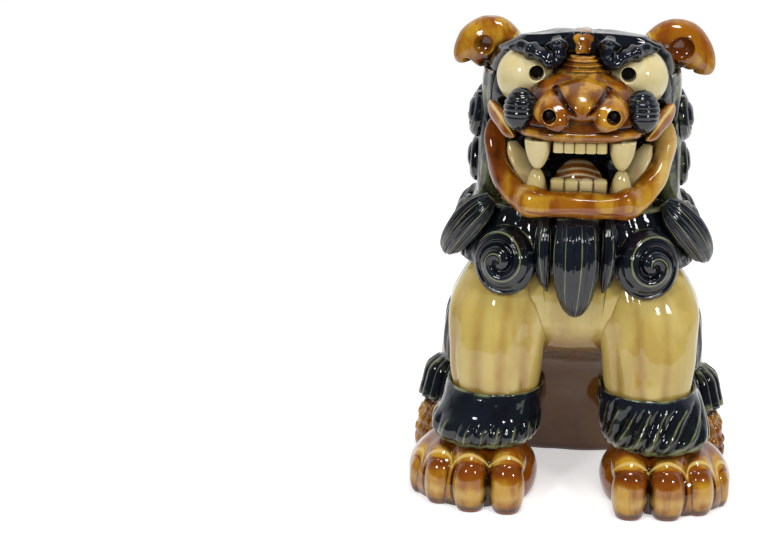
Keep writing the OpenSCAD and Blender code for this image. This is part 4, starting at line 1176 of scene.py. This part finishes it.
upper = [block(i * 5.2, -66 + abs(i) * 0.4, LIP_Z - 6, 2.75, 2.4, 6.5) for i in range(-2, 3)]
lower = [block(i * 7, -57.5 + abs(i) * 0.6, FLOOR_Z, 3.55, 3.2, 13.5) for i in (-1.5, -0.5, 0.5, 1.5)]
piece("upper_teeth_row", upper, cream, ["upper_teeth"], rounds=3)
piece("lower_teeth_row", lower, cream, ["lower_teeth"], rounds=3)
for side, word in SIDES:
    fang = peg(side * 20.4, -63, LIP_Z, 6.6, UPPER_FANG, 1.2, False)
    piece(f"upper_fang_peg_{word}", fang, cream, [f"upper_fang_{word}"], rounds=3)
    fang = peg(side * 20.8, -55.5, FLOOR_Z, 6.2, GUM_Z - FLOOR_Z + LOWER_FANG, 1.4, True)
    piece(f"lower_fang_peg_{word}", fang, cream, [f"lower_fang_{word}"], rounds=3)


def tongue_paint(p):
    """Pale stripes across the tongue, 2.5 mm apart, that droop at its sides."""
    return 0.2 - 1.2 * np.abs(np.sin((p[:, 2] + 0.03 * p[:, 0] ** 2) / 0.8)) ** 3


tongue = lump((0, -41, FLOOR_Z + 1), [[(0, -41, FLOOR_Z), (14, 12.5, 19.5), 0]], 180, 120, floor=FLOOR_Z)
piece("tongue_dome", tongue, tongue_glaze, ["tongue"], uneven=0.3, paint=tongue_paint)

# %% Cheeks
cheek_path = path(NECK, (27, -41.5, 14, 4, 4), (31, -38, 20, 4.8, 4.8), (34.3, -34.5, 26.5, 4.8, 4.8),
                  (36.8, -31.5, 32, 2.5, 2.5))


def cheek_grid(side, n=72):
    """Skin inside the corner of the mouth: an oval carried up the inside of the roll."""
    q = curve(cheek_path, np.linspace(0, 3, 60))[:, None, :]
    a = around(n)
    p = points(q[..., 1] - 3.2 + q[..., 4] * np.cos(a),
               q[..., 2] - 2 - 3 * np.cos(a) + q[..., 4] * np.sin(a), q[..., 3])
    return mirrored(clear_of_skull(p), side)


for side, word in SIDES:
    piece(f"mouth_corner_{word}", cheek_grid(side), blush, [f"cheek_{word}"])

# %% [markdown]
# ## Mane and beard
# The mane is built last: a thick collar under the jaw, a thick coat behind the face, and on them the
# beard, the two big chest scrolls, the side locks and rows of curls. Each is a bar or a button, and
# ribs or a spiral are drawn into it with a tool. On the crests of that tooling the dark glaze has
# run thin and shows olive.

# %% Collar and coat
COLLAR_H, MANE_H = 30.0, 66.0
shoulders = rings(3.2, NECK, (-COLLAR_H, TRUNK_W + 10, -57, RUMP - 22), (-22, TRUNK_W + 7, -53.5, RUMP - 26),
                 (-11, TRUNK_W, -46.5, RUMP - 30), (0, TRUNK_W - 7, -39, RUMP - 33))
collar = rings(2.9, NECK, (-COLLAR_H, TRUNK_W + 12, -59, RUMP - 18), (-22, TRUNK_W + 11.5, -59, RUMP - 13),
              (-11, TRUNK_W + 7.5, -54.5, RUMP - 11), (0, TRUNK_W + 3, -49, RUMP - 13))
mane = rings(2.8, NECK, (0, SKULL_W + 4, -50, RUMP - 13), (18, SKULL_W + 4, -42, RUMP - 13),
            (36, SKULL_W + 4, -36, RUMP - 16), (48, SKULL_W + 3, -30, RUMP - 22),
            (58, SKULL_W + 2, -27, RUMP - 31), (MANE_H, SKULL_W + 0.5, -24, RUMP - 42))


def strands(a, z, count, slope, depth):
    """Hair drawn with a comb: slanting grooves, each the sharp valley of a rectified sine."""
    return -depth * (1 - np.abs(np.sin(count * a / 2 + slope * z)) ** 0.5)


def collar_grid(n=320):
    """Outside of the collar with combed hair, then its inside down the shoulders."""
    a = around(n)
    z = column(NECK - COLLAR_H, NECK, 44)
    fade = unit(6 * np.minimum((z - NECK + COLLAR_H) / COLLAR_H, (NECK - z) / COLLAR_H) + 0.2)
    outer = edge(collar, a, z, strands(a, z, 46, 0.10, 1.0) * fade)
    inner = edge(shoulders, a, column(NECK, NECK - COLLAR_H, 12), 0.1)
    return np.concatenate([outer, inner])


def mane_grid(columns=200):
    """Coat behind the face, from one cheek round the back to the other. Each row of the grid is a
    closed section: up the combed outside, down the inside along the skull."""
    a = column(math.radians(66), math.radians(294), columns)
    z = np.linspace(NECK + 0.1, NECK + MANE_H, 50)[None, :]
    fade = unit(8 * np.minimum((z - NECK) / MANE_H, (NECK + MANE_H - z) / MANE_H) + 0.1)
    outer = clear_of(skull, edge(mane, a, z, strands(a, z, 46, 0.09, 1.0) * fade), 2)
    inner = edge(skull, a, np.linspace(NECK + MANE_H - 0.1, NECK + 0.1, 30)[None, :], 0.3)
    return np.concatenate([outer, inner], 1)


piece("neck_collar", collar_grid(), dark, ["collar"], loop=True, uneven=0.4)
piece("mane_coat", mane_grid(), dark, ["mane"], uneven=0.3)

# %% Beard, beard locks and side locks
def off_the_collar(p):
    """Points moved out of the collar, of six millimetres below its rim too, and of the trunk."""
    lifted = p.copy()
    lifted[..., 2] = np.maximum(p[..., 2], NECK - COLLAR_H)
    q = clear_of(collar, lifted)
    q[..., 2] = p[..., 2]
    return clear_of(trunk, np.where(p[..., 2:] > NECK - COLLAR_H - 6, q, p))


CHIN = NECK - 2
beard_path = path(CHIN, (0, -56, 0, 10, 6), (0, -60, -0.2 * BEARD, 11.5, 8.5),
                  (0, -62, -0.45 * BEARD, 11.5, 9.5), (0, -62, -0.7 * BEARD, 10, 8.5),
                  (0, -60, -0.9 * BEARD, 6.5, 6.5), (0, -58, -BEARD, 2, 2.5))
lock_path = path(CHIN, (15.5, -52, 0, 3, 4), (16.2, -56, -0.2 * BEARD, 4.5, 6),
                 (16.2, -58, -0.4 * BEARD, 4.5, 6), (15.5, -58, -0.6 * BEARD, 3.5, 5),
                 (14, -56, -0.76 * BEARD, 1, 2))
side_path = path(NECK, (TRUNK_W - 7, -40, 4, 3, 3), (TRUNK_W - 2, -40, -1, 7.5, 5),
                 (TRUNK_W + 4, -39, -8, 9, 6), (TRUNK_W + 10, -35, -17, 8.5, 6.5),
                 (TRUNK_W + 14, -29, -25, 6, 6), (TRUNK_W + 14.5, -25, -30, 2, 3))


def coarse_ribs(count, t, a):
    """Ribs that run along a lock of hair and wander a little, between 0 and 1."""
    return np.abs(np.cos(count * a / 2 + 0.3 * np.sin(5 * t)))


def ribbed(count, t, a):
    """Surface of a lock of hair between 0 and 1: coarse ribs and a fine set that winds across them."""
    return 0.7 * coarse_ribs(count, t, a) ** 0.6 + 0.3 * np.abs(np.cos(1.7 * count * a + 4 * t)) ** 0.5


def hair(name, table, up, side, n, count, clear, node, steps=90):
    """Lock of hair: a coil whose ribs follow it, with olive glaze along their crests."""
    t, a = column(0, 1, steps + 1), around(n)
    lock = bar(table, up, steps, n, clear=clear, shape=lambda t, a: 0.88 + 0.14 * ribbed(count, t, a))
    crests = 0.8 * thin_line(coarse_ribs(count, t, a), 0.015) * unit(6 * t * (1 - t))
    piece(name, mirrored(lock, side), dark, [node], uneven=0.35, paint=[crests])


def off_the_shoulder(p):
    """Points moved out of the foreleg, the collar, the mane and the head."""
    for part in (foreleg, collar, mane):
        p = clear_of(part, p)
    return clear_of_skull(p)


hair("ribbed_beard", beard_path, (0, -1, 0), 1, 240, 9, off_the_collar, "beard")
for side, word in SIDES:
    hair(f"beard_side_lock_{word}", lock_path, (0, -1, 0), side, 120, 5, off_the_collar,
         f"beard_lock_{word}", 60)
    hair(f"swept_side_lock_{word}", side_path, (0.6, -1, 0), side, 240, 9, off_the_shoulder,
         f"side_lock_{word}")

# %% Chest scrolls and the rows of curls
chest = rings(2.9, NECK, (-60, TRUNK_W + 15, -64, RUMP - 13), (-44, TRUNK_W + 13.5, -61.5, RUMP - 13),
             (-34, TRUNK_W + 12.5, -60, RUMP - 13), (-22, TRUNK_W + 11.5, -59, RUMP - 13),
             (-11, TRUNK_W + 7.5, -54.5, RUMP - 13), (0, TRUNK_W + 3, -49, RUMP - 13))
for side, word in SIDES:
    scroll = curl(chest, 34, NECK - 25, SCROLL_R, SCROLL_HIGH, SCROLL_TURNS, 160, 80, 120, 0.2)
    piece(f"chest_scroll_curl_{word}", mirrored(scroll, side), dark, [f"chest_scroll_{word}"], rounds=8,
          uneven=0.4, paint=[curl_paint(SCROLL_TURNS, 160, 80, 120)])


def curl_row(mass, angles, z):
    """Curls at the same angles on both sides of a mass, one grid each. One at the back has no twin."""
    return [mirrored(curl(mass, a, z, CURL_R, CURL_HIGH, CURL_TURNS, spin=40, deep=0.3), side)
            for a in angles for side in ((1,) if a == 180 else (-1, 1))]


for name, mass, angles, z in (("upper", mane, (81, 108, 135, 162), NECK + 38.5),
                              ("middle", mane, (94, 122, 150, 180), NECK + 12.5),
                              ("lower", collar, (88, 112, 137, 162), NECK - 17)):
    curls = curl_row(mass, angles, z)
    piece(f"{name}_curl_row", curls, dark, [f"{name}_curls"], uneven=0.3,
          paint=[curl_paint(CURL_TURNS, spin=40)] * len(curls))
print("faces:", sum(made.values()), "in", len(made), "pieces")

# %% [markdown]
# ## Studio
# The photograph was taken from a little above, nearly straight ahead, against white. The camera's lens and
# place were worked out from the statue's own symmetry, and it looks past the statue's left, because
# the statue stands at the right of the picture. Two soft boxes in front and one above give the
# bright lights in the glaze, and the white floor is seen in its lower edges.

# %% Floor and lamps
FLOOR_GLOW = 0.5


def floor_material():
    """Pale floor that the camera sees as nearly white, with the object's shadow on it."""
    material = bpy.data.materials.new("white_paper_floor")
    material.use_nodes = True
    tree = material.node_tree
    shader = tree.nodes["Principled BSDF"]
    tone = noise(tree, 60, 2)
    tree.links.new(mix(tree, tone, linear("#F4F4F4"), linear("#FAFAFA")), shader.inputs["Base Color"])
    shader.inputs["Roughness"].default_value = 0.9
    ray = add(tree, "ShaderNodeLightPath")
    seen = maths(tree, "MAXIMUM", ray.outputs["Is Camera Ray"], ray.outputs["Is Glossy Ray"])
    tree.links.new(times(tree, seen, FLOOR_GLOW), shader.inputs["Emission Strength"])
    shader.inputs["Emission Color"].default_value = (1, 1, 1, 1)
    return material


FLOOR_HALF = 0.6
grid = FLOOR_HALF * np.array([[-1, -1, 0], [1, -1, 0], [1, 1, 0], [-1, 1, 0]])
mesh = bpy.data.meshes.new("floor")
mesh.from_pydata(grid.tolist(), [], [[0, 1, 2, 3]])
floor = bpy.data.objects.new("floor", mesh)
bpy.context.scene.collection.objects.link(floor)
mesh.materials.append(floor_material())


def standing(x, y, z, place):
    """Matrix of an object whose three axes and place are given."""
    return Matrix([[float(v[i]) for v in (x, y, z, place)] for i in range(3)] + [[0, 0, 0, 1]])


def lamp(name, place, aim, size, watts):
    """Square soft box at a place, turned to its aim."""
    data = bpy.data.lights.new(name, "AREA")
    data.size, data.energy = size, watts
    obj = bpy.data.objects.new(name, data)
    bpy.context.scene.collection.objects.link(obj)
    place, aim = np.array(place, float), np.array(aim, float)
    back = (place - aim) / np.linalg.norm(place - aim)
    side = np.cross([0, 0, 1], back)
    side /= np.linalg.norm(side)
    up = np.cross(back, side)
    obj.matrix_world = standing(side, up, back, place)
    return obj


lamp("key_soft_box", (-0.50, -0.85, 0.75), (0, 0, 0.13), 0.16, 2.9)
lamp("right_soft_box", (0.62, -0.75, 0.62), (0, 0, 0.13), 0.14, 2.4)
lamp("top_soft_box", (0.05, -0.20, 1.0), (0, 0, 0.1), 0.20, 2.4)

# %% [markdown]
# The room has three levels of white. The camera sees full white, surfaces are lit by AMBIENT, and
# reflections see the white backdrop behind the statue and the much dimmer ROOM in front of it.
# A dark glaze that mirrored a white room would look grey.

# %% The room round it
AMBIENT, ROOM = 0.50, 0.08
world = bpy.data.worlds.new("studio")
bpy.context.scene.world = world
world.use_nodes = True
tree = world.node_tree
background = tree.nodes["Background"]
ray = add(tree, "ShaderNodeLightPath")
toward = add(tree, "ShaderNodeTexCoord").outputs["Generated"]
back = add(tree, "ShaderNodeSeparateXYZ", {"Vector": toward}).outputs["Y"]
room = maths(tree, "ADD", times(tree, step(tree, back, -0.1, 0.5), 1 - ROOM), ROOM)
mirrored_level = times(tree, ray.outputs["Is Glossy Ray"], maths(tree, "SUBTRACT", room, AMBIENT))
seen_level = times(tree, ray.outputs["Is Camera Ray"], 1 - AMBIENT)
level = maths(tree, "ADD", maths(tree, "ADD", seen_level, mirrored_level), AMBIENT)
tree.links.new(level, background.inputs["Strength"])
background.inputs["Color"].default_value = (1, 1, 1, 1)

# %% Camera
SENSOR = 36
PHOTO_WIDTH = 766
FOCAL_PIXELS = 1676
TURN, PITCH = math.radians(6.3), math.radians(17.75)
PLACE = np.array([-6.02 - 2.0, -862.92, 375.61])
camera = bpy.data.cameras.new("camera")
camera.sensor_width = SENSOR
camera.lens = SENSOR * FOCAL_PIXELS / PHOTO_WIDTH
eye = bpy.data.objects.new("camera", camera)
bpy.context.scene.collection.objects.link(eye)
level_part = math.cos(PITCH)
ahead = np.array([-math.sin(TURN) * level_part, math.cos(TURN) * level_part, -math.sin(PITCH)])
right = np.array([math.cos(TURN), math.sin(TURN), 0])
above = np.cross(right, ahead)
eye.matrix_world = standing(right, above, -ahead, PLACE * MM)
bpy.context.scene.camera = eye
bpy.context.scene.view_settings.view_transform = "Standard"
